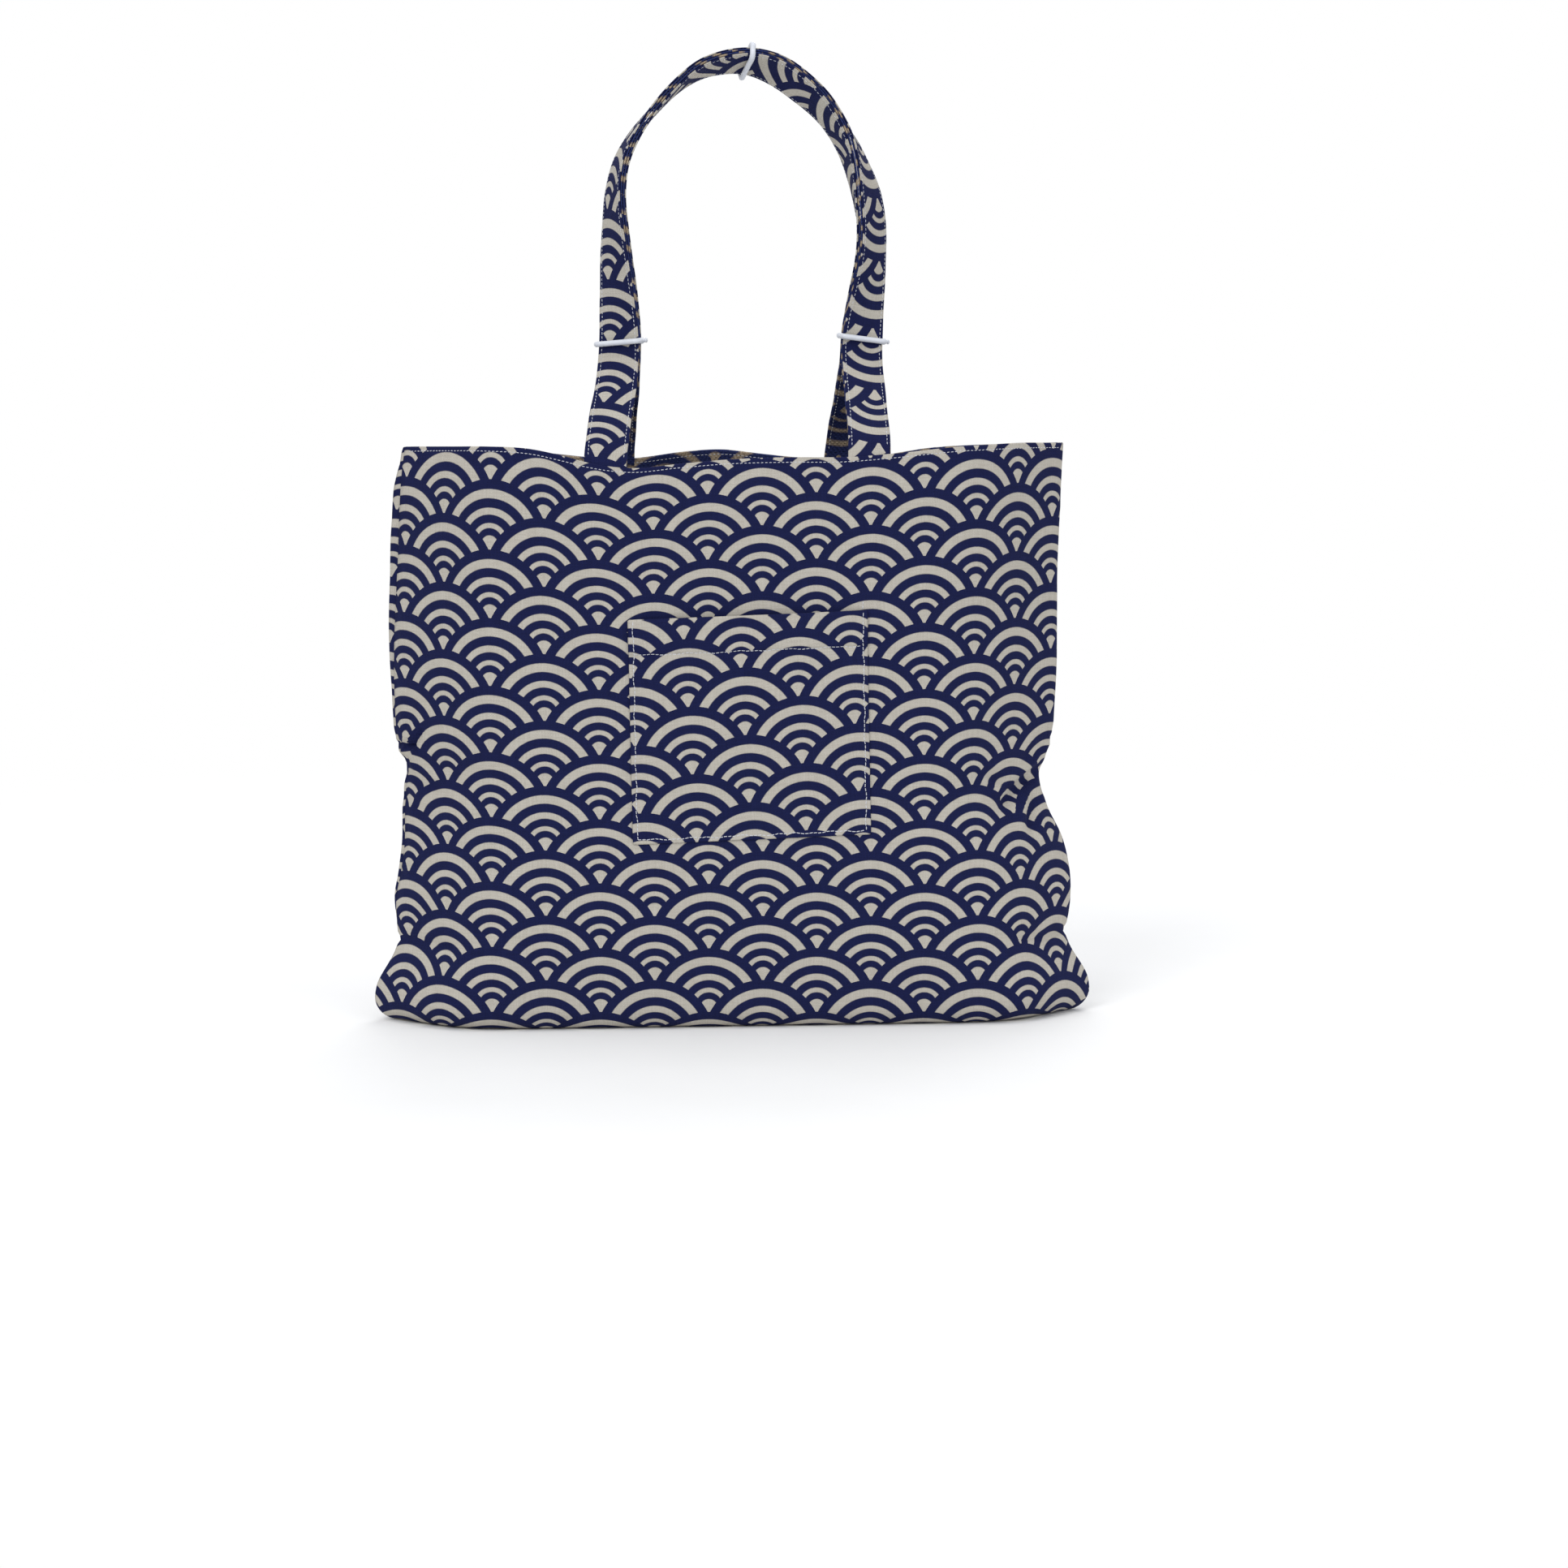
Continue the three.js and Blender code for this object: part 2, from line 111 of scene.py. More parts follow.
world = bpy.data.worlds.new("studio")
world.use_nodes = True
bpy.context.scene.world = world
sky = world.node_tree
sky.nodes.clear()
path = add(sky, "LightPath")
seen = add(sky, "Math", path.outputs["Is Camera Ray"], path.outputs["Is Glossy Ray"], operation="MAXIMUM")
lit = add(sky, "Background", linear("#F4F6FA"), 0.62)
white = add(sky, "Background", (1, 1, 1, 1), 1.0)
both = add(sky, "MixShader", seen.outputs[0], lit.outputs[0], white.outputs[0])
add(sky, "OutputWorld", both.outputs[0])

bpy.ops.mesh.primitive_grid_add(x_subdivisions=2, y_subdivisions=2, size=3)
floor = bpy.context.object
floor.name = "studio_floor"
paper, tree = new_material("matt white studio paper")
grain = add(tree, "TexNoise", add(tree, "TexCoord").outputs["Object"], pins={"Scale": 9.0})
tone = add(tree, "MixRGB", grain.outputs["Fac"], linear("#F6F6F5"), linear("#FAFAFA"))
sheet_shader = add(tree, "BsdfPrincipled", tone.outputs[0], pins={"Roughness": 0.9})
spread = add(tree, "VectorMath", add(tree, "TexCoord").outputs["Object"], operation="LENGTH")
fade = add(tree, "MapRange", spread.outputs["Value"], 0.5, 1.3, 0.0, 1.0, interpolation_type="SMOOTHSTEP")
clear = add(tree, "BsdfTransparent")
edge = add(tree, "MixShader", fade.outputs[0], sheet_shader.outputs[0], clear.outputs[0])
add(tree, "OutputMaterial", edge.outputs[0])
floor.data.materials.append(paper)

BAG_MIDDLE = (0, 0, 0.28)
for name, place, size, power in [("key", (-1.7, -2.4, 2.5), 1.8, 46), ("fill", (2.2, -2.0, 1.5), 2.2, 17),
                                 ("back", (0.6, 2.4, 2.4), 2.0, 26), ("top", (0, 0, 3.2), 2.4, 26)]:
    lamp = bpy.data.lights.new(name, "AREA")
    lamp.size = size
    lamp.energy = power
    holder = bpy.data.objects.new(name, lamp)
    holder.location = place
    aim = np.array(BAG_MIDDLE) - np.array(place)
    holder.rotation_euler = (math.acos(-aim[2] / np.linalg.norm(aim)), 0, math.atan2(-aim[0], aim[1]))
    bpy.context.collection.objects.link(holder)

# %% [markdown]
# ## The printed wave pattern
#
# Both cloths carry seigaiha, the old pattern of overlapping rings that stand for calm sea. It is screen printed
# in one ink, so a ring is pale where the screen was closed and navy where the ink went through. The pattern is
# worked out from the cloth's own flat coordinates in millimetres, kept as a UV map, so it bends with every fold.
# Rings stand two radii apart in a row, each row is shifted by one radius, and a lower row lies over the next.

# %% Wave pattern
# RING is a ring's radius in millimetres. The rest are in ring radii: from row to row, a ring's reach, its bare bands
# from the rim in, and the drop at its foot, a wedge from its point up that a circle cuts off.
RING = 32.7
ROW_PITCH = 0.609
RING_REACH = 1.09
PALE_BANDS = [(0.764, 0.919), (0.480, 0.598), (0.247, 0.333)]
DROP_APEX, DROP_SPREAD = -0.203, 0.60
DROP_CENTRE, DROP_REACH = -0.044, 0.16


def step_up(tree, value, edge, soft):
    """0 below an edge and 1 above it, with a soft change as wide as the ink's own edge."""
    return add(tree, "MapRange", value, edge - soft, edge + soft, 0.0, 1.0).outputs[0]


def wave_print(tree, u, v, soft, creep):
    """The share of bare cloth at a place: u and v are in ring radii, with v up the cloth.

    creep is how far the ink has run past the edge of the screen, in ring radii.
    """
    row = add(tree, "Math", v, ROW_PITCH, operation="DIVIDE").outputs[0]
    row = add(tree, "Math", row, operation="FLOOR").outputs[0]
    parity = add(tree, "Math", row, 2.0, operation="FLOORED_MODULO").outputs[0]
    base = add(tree, "Math", row, ROW_PITCH, operation="MULTIPLY").outputs[0]
    up = add(tree, "Math", v, base, operation="SUBTRACT").outputs[0]
    shifted = add(tree, "Math", u, parity, operation="SUBTRACT").outputs[0]
    middles = []
    for across in (add(tree, "Math", shifted, 1.0, operation="ADD").outputs[0], shifted):
        across = add(tree, "Math", across, 2.0, operation="FLOORED_MODULO").outputs[0]
        middles.append(add(tree, "Math", across, 1.0, operation="SUBTRACT").outputs[0])
    own, other = middles
    below = add(tree, "Math", up, ROW_PITCH, operation="SUBTRACT").outputs[0]
    above = add(tree, "Math", up, ROW_PITCH, operation="ADD").outputs[0]
    # The ring seen here is one of the next row up, unless one of this row or of the next row down reaches this far.
    spot = add(tree, "CombineXYZ", other, below).outputs[0]
    for across, height in [(own, up), (other, above)]:
        nearer = add(tree, "CombineXYZ", across, height).outputs[0]
        reach = add(tree, "VectorMath", nearer, operation="LENGTH").outputs["Value"]
        covers = add(tree, "Math", reach, RING_REACH, operation="LESS_THAN").outputs[0]
        spot = add(tree, "Mix", covers, pins={4: spot, 5: nearer}, data_type="VECTOR").outputs[1]
    radius = add(tree, "VectorMath", spot, operation="LENGTH").outputs["Value"]
    bare = None
    for inner, outer in PALE_BANDS:
        begins = step_up(tree, radius, inner + creep, soft)
        ends = step_up(tree, radius, outer - creep, soft)
        band = add(tree, "Math", begins, ends, operation="SUBTRACT").outputs[0]
        bare = band if bare is None else add(tree, "Math", bare, band, operation="MAXIMUM").outputs[0]
    reach = add(tree, "VectorMath", spot, (0, DROP_CENTRE, 0), operation="DISTANCE").outputs["Value"]
    parts = add(tree, "SeparateXYZ", spot)
    side = add(tree, "Math", parts.outputs[0], operation="ABSOLUTE").outputs[0]
    up_from_apex = add(tree, "Math", parts.outputs[1], DROP_APEX, operation="SUBTRACT").outputs[0]
    edge = add(tree, "Math", up_from_apex, DROP_SPREAD, operation="MULTIPLY").outputs[0]
    wedge = step_up(tree, add(tree, "Math", edge, side, operation="SUBTRACT").outputs[0], creep, soft)
    cap = add(tree, "Math", 1.0, step_up(tree, reach, DROP_REACH - creep, soft), operation="SUBTRACT").outputs[0]
    drop = add(tree, "Math", wedge, cap, operation="MULTIPLY").outputs[0]
    return add(tree, "Math", bare, drop, operation="MAXIMUM").outputs[0]


# %% [markdown]
# ## Printed cotton and printed jute
#
# The outside is plain woven cotton canvas, unbleached to a warm cream, with a deep navy pigment printed on it. The
# thread shows as a fine grid, and the ink's edge wavers by a fraction of a millimetre where it meets the threads.
# The reverse is a coarser jute blend in tan. Its thick uneven threads break the ink's edge up and catch the light,
# so its bump is stronger. Real canvas has about two threads a millimetre, which no picture of this size shows, so
# the weave is drawn at the pitch given here.

# %% Cloth materials
def printed_cloth(name, ground, ground_shade, ink, ink_shade, thread, ragged, relief, rough, soft, creep):
    material, tree = new_material(name)
    flat = add(tree, "UVMap", uv_map="cloth_mm").outputs[0]
    wander = add(tree, "TexNoise", flat, pins={"Scale": 0.55, "Detail": 3.0, "Roughness": 0.7})
    push = add(tree, "VectorMath", wander.outputs["Color"], (0.5, 0.5, 0.5), operation="SUBTRACT").outputs[0]
    push = add(tree, "VectorMath", push, (ragged, ragged, 0), operation="MULTIPLY").outputs[0]
    inked = add(tree, "VectorMath", flat, push, operation="ADD").outputs[0]
    place = add(tree, "VectorMath", inked, (1 / RING, 1 / RING, 0), operation="MULTIPLY").outputs[0]
    place = add(tree, "SeparateXYZ", place)
    bare = wave_print(tree, place.outputs[0], place.outputs[1], soft, creep)

    # Threads: a plain weave, over and under like a chequerboard, with thick and thin places along each thread.
    sway = add(tree, "TexNoise", flat, pins={"Scale": 0.12, "Detail": 2.0})
    swerve = 2.2 * thread
    bend = add(tree, "VectorMath", sway.outputs["Color"], (swerve, swerve, 0), operation="MULTIPLY").outputs[0]
    woven = add(tree, "VectorMath", flat, bend, operation="ADD").outputs[0]
    woven = add(tree, "VectorMath", woven, (1 / thread, 1 / thread, 0), operation="MULTIPLY").outputs[0]
    cell = add(tree, "TexChecker", woven, (1, 1, 1, 1), (0, 0, 0, 1), 1.0).outputs["Fac"]
    wave = add(tree, "VectorMath", woven, (math.pi,) * 3, operation="MULTIPLY").outputs[0]
    wave = add(tree, "SeparateXYZ", add(tree, "VectorMath", wave, operation="SINE").outputs[0])
    warp, weft = [add(tree, "Math", wave.outputs[k], operation="ABSOLUTE").outputs[0] for k in (0, 1)]
    height = add(tree, "Mix", cell, pins={2: warp, 3: weft}, data_type="FLOAT").outputs[0]
    lengthwise = []
    for stretch in ((0.9, 0.06, 0), (0.06, 0.9, 0)):
        drawn_out = add(tree, "VectorMath", woven, stretch, operation="MULTIPLY").outputs[0]
        lengthwise.append(add(tree, "TexNoise", drawn_out, pins={"Scale": 1.0, "Detail": 1.0}).outputs["Fac"])
    slub = add(tree, "Mix", cell, pins={2: lengthwise[0], 3: lengthwise[1]}, data_type="FLOAT").outputs[0]
    slub = add(tree, "MapRange", slub, 0.3, 0.7, 0.0, 1.0).outputs[0]

    cloth_colour = add(tree, "MixRGB", slub, linear(ground_shade), linear(ground)).outputs[0]
    ink_colour = add(tree, "MixRGB", slub, linear(ink_shade), linear(ink)).outputs[0]
    colour = add(tree, "MixRGB", bare, ink_colour, cloth_colour).outputs[0]
    tall = add(tree, "Math", height, add(tree, "Math", slub, 0.6, operation="MULTIPLY").outputs[0], operation="ADD")
    bump = add(tree, "Bump", pins={"Strength": relief, "Distance": 0.0004, "Height": tall.outputs[0]})
    shader = add(tree, "BsdfPrincipled", colour,
                 pins={"Roughness": rough, "Specular IOR Level": 0.12, "Normal": bump.outputs[0]})
    add(tree, "OutputMaterial", shader.outputs[0])
    return material


cotton = printed_cloth("screen printed cotton canvas", "#C2BDB3", "#B2ACA1", "#191F49", "#151A3E",
                       thread=0.8, ragged=0.3, relief=0.35, rough=0.88, soft=0.008, creep=0.0)
jute = printed_cloth("screen printed jute blend", "#B7A58E", "#94836D", "#2B3463", "#262F58",
                     thread=1.4, ragged=1.5, relief=0.75, rough=0.95, soft=0.022, creep=0.019)


# %% [markdown]
# ## Thread and plastic
#
# The topstitching is white polyester thread, twisted, with a slight gloss and painted shade in the grooves of its
# twist. The loops that hold the handles
# together are moulded white nylon: nearly smooth, a little translucent at the edges, with a soft highlight.

# %% Small finishes
thread, tree = new_material("twisted polyester sewing thread")
object_place = add(tree, "TexCoord").outputs["Object"]
twist = add(tree, "TexWave", object_place, pins={"Scale": 900.0, "Distortion": 1.0}, bands_direction="DIAGONAL")
# painted shade: the thread is darker where the twist's bump is lowest, in the grooves between the plies
shade = add(tree, "MixRGB", twist.outputs["Fac"], linear("#B9BCC6"), linear("#E2E3E6"))
ply = add(tree, "Bump", pins={"Strength": 0.4, "Distance": 0.0001, "Height": twist.outputs["Fac"]})
strand = add(tree, "BsdfPrincipled", shade.outputs[0], pins={"Roughness": 0.55, "Normal": ply.outputs[0]})
add(tree, "OutputMaterial", strand.outputs[0])

nylon, tree = new_material("moulded white nylon")
object_place = add(tree, "TexCoord").outputs["Object"]
cloud = add(tree, "TexNoise", object_place, pins={"Scale": 160.0, "Detail": 3.0})
shade = add(tree, "MixRGB", cloud.outputs["Fac"], linear("#CBCFD9"), linear("#DFE2E8"))
gloss = add(tree, "MapRange", cloud.outputs["Fac"], 0.3, 0.7, 0.32, 0.46)
skin = add(tree, "Bump", pins={"Strength": 0.15, "Distance": 0.0002, "Height": cloud.outputs["Fac"]})
moulded = add(tree, "BsdfPrincipled", shade.outputs[0], pins={"Roughness": gloss.outputs[0], "IOR": 1.53,
              "Subsurface Weight": 0.12, "Subsurface Radius": (0.004, 0.004, 0.004), "Normal": skin.outputs[0]})
add(tree, "OutputMaterial", moulded.outputs[0])

# %% [markdown]
# ## How the bag stands
#
# The bag is two flat cotton panels joined at their sides and under the base, so its shape at any height is one
# closed line. That line is written down at a few heights, as read from the real bag, and drawn smoothly in
# between. All sizes are millimetres. "bevel" is the share of the half width over which the wall turns back towards
# the seam, and a "point" under 1 rounds the end at the seam. Both ends lean back a little, and the rim sags where
# nothing holds it up. The left and the right differ, because filled cloth never stands quite even.

# %% Sizes of the body
MM = 0.001
CLOTH, GAP = 1.1, 0.3  # the thickness of a cloth, and the air between two of them
LAYER = CLOTH + GAP
LINING_FACE = LAYER + CLOTH  # how deep the lining's inner face lies below the skin
FLAT_WIDTH = 450.0  # a panel from seam to seam
COLUMNS, COLUMNS_FINE = 176, 1200
TOP, RIM_HALF = 350.0, 200.0
ROUND = 14.0  # the radius of the base's soft edge
BEND_FROM = 0.72  # the share of the half width from which an end leans back
SAG_POWER = 3.5  # how soon the sag of the rim dies out below it
RNG = np.random.default_rng(7)

# height, half width left, half width right, half depth, bevel left, bevel right, point left, point right
BODY = np.array([
    (0, 220.5, 219.5, 52.0, 0.22, 0.22, 1.00, 1.00),
    (20, 220.5, 219.5, 52.0, 0.22, 0.22, 1.00, 1.00),
    (49, 207.5, 206, 54.0, 0.25, 0.26, 0.92, 0.86),
    (61, 208.8, 208.5, 54.0, 0.27, 0.28, 0.88, 0.80),
    (73, 210, 209.8, 53.5, 0.28, 0.30, 0.88, 0.76),
    (91, 207.3, 208.5, 53.0, 0.29, 0.32, 0.88, 0.74),
    (107, 205.0, 204.5, 52.5, 0.30, 0.33, 0.88, 0.74),
    (130, 204.0, 194.0, 51.5, 0.30, 0.34, 0.88, 0.80),
    (147, 202.5, 190.0, 51.0, 0.30, 0.35, 0.88, 0.84),
    (156, 201.5, 193.4, 50.8, 0.30, 0.35, 0.88, 0.86),
    (165, 205.6, 196.2, 50.5, 0.29, 0.37, 0.88, 0.86),
    (177, 208.4, 198.6, 50.3, 0.28, 0.38, 0.88, 0.85),
    (190, 209.6, 199.6, 50.0, 0.28, 0.38, 0.88, 0.85),
    (207, 210.2, 200.4, 49.8, 0.27, 0.38, 0.90, 0.84),
    (245, 210.4, 200.4, 49.3, 0.27, 0.38, 0.94, 0.85),
    (278, 209.6, 200.6, 48.5, 0.26, 0.33, 1.00, 0.88),
    (300, 208.6, 201.2, 47.8, 0.26, 0.33, 1.00, 0.88),
    (320, 207.2, 202.2, 47.0, 0.26, 0.31, 1.00, 0.90),
    (335, 204.8, 203.0, 46.0, 0.26, 0.31, 1.00, 0.92),
    (350, 201.0, 202.8, 44.5, 0.26, 0.31, 1.00, 0.92),
])
# height; how far the right seam lies round to the back, and how far that end of the bag leans back; how far the left
# seam lies round to the front, and how far that end leans back
SEAM_SHIFT = np.array([(0, 0, 0, 0, 0), (45, 0, 0, 0, 0), (90, 3, 6, 3, 4), (150, 3, 7, 2, 5), (200, 3, 8, 3, 6),
                       (245, 3, 8, 5, 6), (300, 3, 8, 6, 6), (335, 1, 8, 4, 6), (350, 0, 8, 2, 6)], float)
FRONT_RIM = np.array([(-200, 349.5), (-175, 351.0), (-150, 352.0), (-124, 350.5), (-106, 346.5), (-91, 342.5),
                      (-66, 339.0), (-35, 341.5), (-4, 344.0), (30, 345.0), (66, 345.0), (90, 346.6), (140, 351.0),
                      (175, 351.2), (200, 349.6)])
BACK_RIM = np.array([(-200, 349.5), (-130, 344.7), (-57, 339.3), (-25, 343.3), (-5, 344.3), (20, 341.5),
                     (40, 339.4), (57, 337.4), (130, 345.4), (200, 349.6)])


def smooth(table, at):
    """A smooth curve through the rows of a table, whose first column is the place."""
    xs, ys = table[:, 0], table[:, 1:]
    slopes = np.gradient(ys, xs, axis=0)
    at = np.clip(np.atleast_1d(np.asarray(at, float)), xs[0], xs[-1])
    i = np.clip(np.searchsorted(xs, at, side="right") - 1, 0, len(xs) - 2)
    span = (xs[i + 1] - xs[i])[:, None]
    t = (at - xs[i])[:, None] / span
    return ((2 * t**3 - 3 * t**2 + 1) * ys[i] + (t**3 - 2 * t**2 + t) * span * slopes[i]
            + (-2 * t**3 + 3 * t**2) * ys[i + 1] + (t**3 - t**2) * span * slopes[i + 1])


def run_of(points):
    """The length of a line up to each of its points."""
    return np.concatenate([[0], np.cumsum(np.linalg.norm(np.diff(points, axis=0), axis=1))])


def on_line(at, run, points):
    """The places, or the directions, of a line at given lengths along it."""
    return np.stack([np.interp(at, run, points[:, k]) for k in range(3)], axis=1)


def ease(t):
    """0 to 1 with a level start and end."""
    return t * t * (3 - 2 * t)


def ring_line(height, drawn_in=0.0, closing=0.0):
    """The closed line of the bag at a height: the front from the left seam to the right, then the back."""
    left, right, depth, *ends = smooth(BODY, height)[0]
    centre, half = (right - left) / 2, (right + left) / 2 - drawn_in
    s = np.sin(np.linspace(-1, 1, COLUMNS_FINE + 1) * math.pi / 2)
    bevel, point = [ends[k] + (ends[k + 1] - ends[k]) * np.clip(s + 0.5, 0, 1) for k in (0, 2)]
    x = centre + half * s
    from_end = (1 - np.abs(s)) / bevel
    y = (depth - drawn_in) * (from_end / (1 + from_end**5) ** 0.2) ** point * (1 - closing)
    right_seam, right_end, left_seam, left_end = smooth(SEAM_SHIFT, height)[0]
    bend = ease(np.clip((np.abs(s) - BEND_FROM) / (1 - BEND_FROM), 0, 1)) * np.where(s > 0, right_end, left_end)
    rise = (max(height - ROUND, 0) / (TOP - ROUND)) ** SAG_POWER
    front = height - (TOP - smooth(FRONT_RIM, x)[:, 0]) * rise
    back = height - (TOP - smooth(BACK_RIM, x)[:, 0]) * rise
    around = np.concatenate([np.stack([x, bend - y, front], axis=1), np.stack([x, bend + y, back], axis=1)[-2::-1]])
    run = run_of(around[:, :2])
    split = run[COLUMNS_FINE] + right_seam
    at = np.concatenate([np.linspace(left_seam, split, COLUMNS + 1)[:-1],
                         np.linspace(split, run[-1] + left_seam, COLUMNS + 1)[:-1]]) % run[-1]
    return on_line(at, run, around)


# %% [markdown]
# ## Folds in the standing cloth
#
# A cloth wall is never a clean surface. It is drawn in at the sewn seams, it buckles where the sides lean in, and
# slow swells run over it. Each of these is a small move square to the surface. A crease is deep in its middle and
# has a low ridge on either side, because the cloth that goes in has to come from beside it.

# %% Folds
EAR_SEAM, EAR_REACH = 50, 52  # the height of the cross seam over an ear, and its reach from the side seam


def crease(u, z, start, end, width, depth):
    (au, az), (bu, bz) = start, end
    length = math.hypot(bu - au, bz - az)
    eu, ez = (bu - au) / length, (bz - az) / length
    along = ((u - au) * eu + (z - az) * ez) / length
    across = ((z - az) * eu - (u - au) * ez) / width
    fade = np.exp(-(np.maximum(np.abs(along - 0.5) - 0.3, 0) / 0.22) ** 2)
    return -depth * fade * (1 - across**2) * np.exp(-(across**2) / 2)


def swell(u, z, seed, longest, height):
    """Slow waves in every direction, the same each time the script runs."""
    chance = np.random.default_rng(seed)
    total = np.zeros(np.broadcast(u, z).shape)
    for share in (1.0, 0.6, 0.4, 0.27, 0.18):
        for _ in range(3):
            angle, phase = chance.uniform(0, 2 * math.pi, 2)
            reach = longest * share / (2 * math.pi)
            total += share**1.2 * np.sin((u * math.cos(angle) + z * math.sin(angle)) / reach + phase)
    return total * height / 3


# each crease runs from one place to another, given across and up, and has a width and a depth
FRONT_CREASES = [
    ((-226, 157), (-200, 180), 2.4, 2.8),
    ((-230, 168), (-206, 170), 1.8, 2.6),
    ((-226, 151), (-192, 145), 4.0, 2.0),
    ((-226, 170), (-208, 188), 3.0, 1.0),
    ((-226, 138), (-204, 128), 4.0, 0.9),
    ((214, 148), (174, 130), 4.8, 4.2),
    ((212, 138), (188, 112), 4.2, 2.6),
    ((216, 166), (196, 158), 4.6, 1.0),
    ((190, 142), (166, 150), 3.4, 1.4),
    ((-120, 345), (-96, 318), 7.0, 0.6),
    ((-60, 338), (-40, 305), 8.0, 0.5),
    ((86, 345), (110, 305), 8.0, 0.5),
    ((-206, 60), (-155, 82), 7.0, 0.8),
    ((212, 62), (155, 84), 7.0, 0.8),
]
BACK_CREASES = [
    ((-214, 150), (-182, 132), 5.0, 2.2),
    ((214, 165), (188, 178), 4.5, 2.0),
    ((-30, 342), (-52, 300), 8.0, 0.7),
    ((120, 120), (60, 92), 9.0, 0.7),
    ((-200, 62), (-150, 84), 7.0, 0.8),
    ((205, 60), (150, 80), 7.0, 0.8),
]


def folds(u, z, from_seam, creases, seed):
    """Swells and creases, the dip along the side seam, and the cross seam above each ear of the boxed base."""
    move = swell(u, z, seed, 210, 0.8) + swell(u, z, seed + 1, 70, 0.22)
    for start, end, width, depth in creases:
        move = move + crease(u, z, start, end, width, depth)
    upright = np.clip((z - EAR_SEAM - 2) / 20, 0, 1) * np.clip((TOP - 4 - z) / 30, 0, 1)
    move = move - (0.8 + 0.9 * upright) * np.exp(-(from_seam / 2.6) ** 2) * np.clip(z / 20, 0, 1)
    cross = np.exp(-((z - EAR_SEAM) / 2.4) ** 2) * np.clip((EAR_REACH - from_seam) / 6, 0, 1)
    return (move - 2.0 * cross) * np.clip((z - 2) / 26, 0, 1)


# %% [markdown]
# ## The body's surface
#
# One closed surface is worked out for the whole body first. The cotton and the lining then follow it at their own
# depth, so the layers can't cut through each other. The cloth runs from the rim down the wall, round the base's
# soft edge and along the floor to the seam in its middle.

# %% Body surface
CURVE_RINGS = 8
wall = np.concatenate([[0, 0.5, 1.1, 2.2], np.arange(4.4, TOP - ROUND - 1, 2.45), [TOP - ROUND]])
rings = [ring_line(TOP - drop) for drop in wall]
for turn in np.linspace(0, math.pi / 2, CURVE_RINGS + 1)[1:]:
    rings.append(ring_line(ROUND * (1 - math.sin(turn)), ROUND * (1 - math.cos(turn))))
for closing in np.linspace(0, 1, 13)[1:]:
    rings.append(ring_line(0.0, ROUND, closing))
skin_points = np.array(rings)
middle_line = skin_points[:, COLUMNS // 2]
DOWN = run_of(middle_line)
COLUMNS_OF = {"front": np.arange(COLUMNS + 1), "back": (np.arange(COLUMNS + 1) + COLUMNS) % (2 * COLUMNS)}
# how far the rows of the print fall towards the right, and how much closer they lie than the screen had them
PRINT_FALL, PRINT_SQUEEZE = 0.014, 1.008


def square_to(points):
    """The outward direction at every point of the closed body surface."""
    round_it = np.roll(points, -1, axis=1) - np.roll(points, 1, axis=1)
    down_it = np.gradient(points, axis=0)
    out = np.cross(down_it, round_it)
    size = np.linalg.norm(out, axis=2, keepdims=True)
    flat = (size < 1e-4) | (np.arange(len(points)) >= len(wall) + CURVE_RINGS)[:, None, None]
    out = np.where(flat, (0, 0, -1), out / np.maximum(size, 1e-9))
    # the first column is the left seam, where outward is to the left
    return out if out[:, 0, 0].mean() < 0 else np.where(flat, out, -out)


def print_places(side):
    """Where every point of a wall lies in the print: millimetres of cloth from the bag's middle and from its rim."""
    face = skin_points[:, COLUMNS_OF[side]]
    run = np.cumsum(np.pad(np.linalg.norm(np.diff(face, axis=1), axis=2), ((0, 0), (1, 0))), axis=1)
    sign = 1 if side == "front" else -1
    middle = np.array([np.interp(0, sign * row[:, 0], along) for row, along in zip(face, run)])
    u = run - middle[:, None]
    return np.stack([u, PRINT_FALL * u - PRINT_SQUEEZE * DOWN[:, None]], axis=2)


PRINT = {side: print_places(side) for side in ("front", "back")}
cloth_u = (np.arange(COLUMNS + 1) / COLUMNS - 0.5) * FLAT_WIDTH
seam_run = FLAT_WIDTH / 2 - np.abs(cloth_u)
moves = []
for half, creases, seed in [(slice(0, COLUMNS), FRONT_CREASES, 11), (slice(COLUMNS, 2 * COLUMNS), BACK_CREASES, 31)]:
    heights = skin_points[:, half, 2]
    moves.append(folds(cloth_u[None, :-1], heights, seam_run[None, :-1], creases, seed))
moves = np.concatenate(moves, axis=1)
# the two walls move as one where they meet at a seam
from_seam = np.arange(2 * COLUMNS) % COLUMNS
agree = np.clip(np.minimum(from_seam, COLUMNS - from_seam) / 3, 0, 1)[None, :]
seam_moves = (moves[:, :1] + moves[:, COLUMNS:COLUMNS + 1]) / 2
moves = moves * agree + seam_moves * (1 - agree)
skin_points = skin_points + square_to(skin_points) * moves[:, :, None]
skin_out = square_to(skin_points)
skin_points[:, :, 2] = np.maximum(skin_points[:, :, 2], 0)


def face_of(side, inset):
    """One face of the front or back wall, at a depth inside the bag's skin, on its own side of the seams."""
    take = COLUMNS_OF[side]
    face = (skin_points - skin_out * inset)[:, take]
    seams = skin_points[:, COLUMNS, 1] - skin_points[:, 0, 1]
    share = np.clip((face[:, :, 0] + RIM_HALF) / (2 * RIM_HALF), 0, 1)
    limit = skin_points[:, :1, 1] + seams[:, None] * share
    sign = -1 if side == "front" else 1
    face[:, :, 1] = sign * (np.maximum(sign * (face[:, :, 1] - limit), 0) + GAP / 2) + limit
    face[:, :, 2] = np.maximum(face[:, :, 2], inset)
    return face, skin_out[:, take]


# %% [markdown]
# ## From two faces to a piece of cloth
#
# A cloth piece is two grids of points that face each other, closed all round by a rounded edge, as a folded hem
# is. The flat coordinates go into a UV map called cloth_mm, in which the print and the weave are drawn.

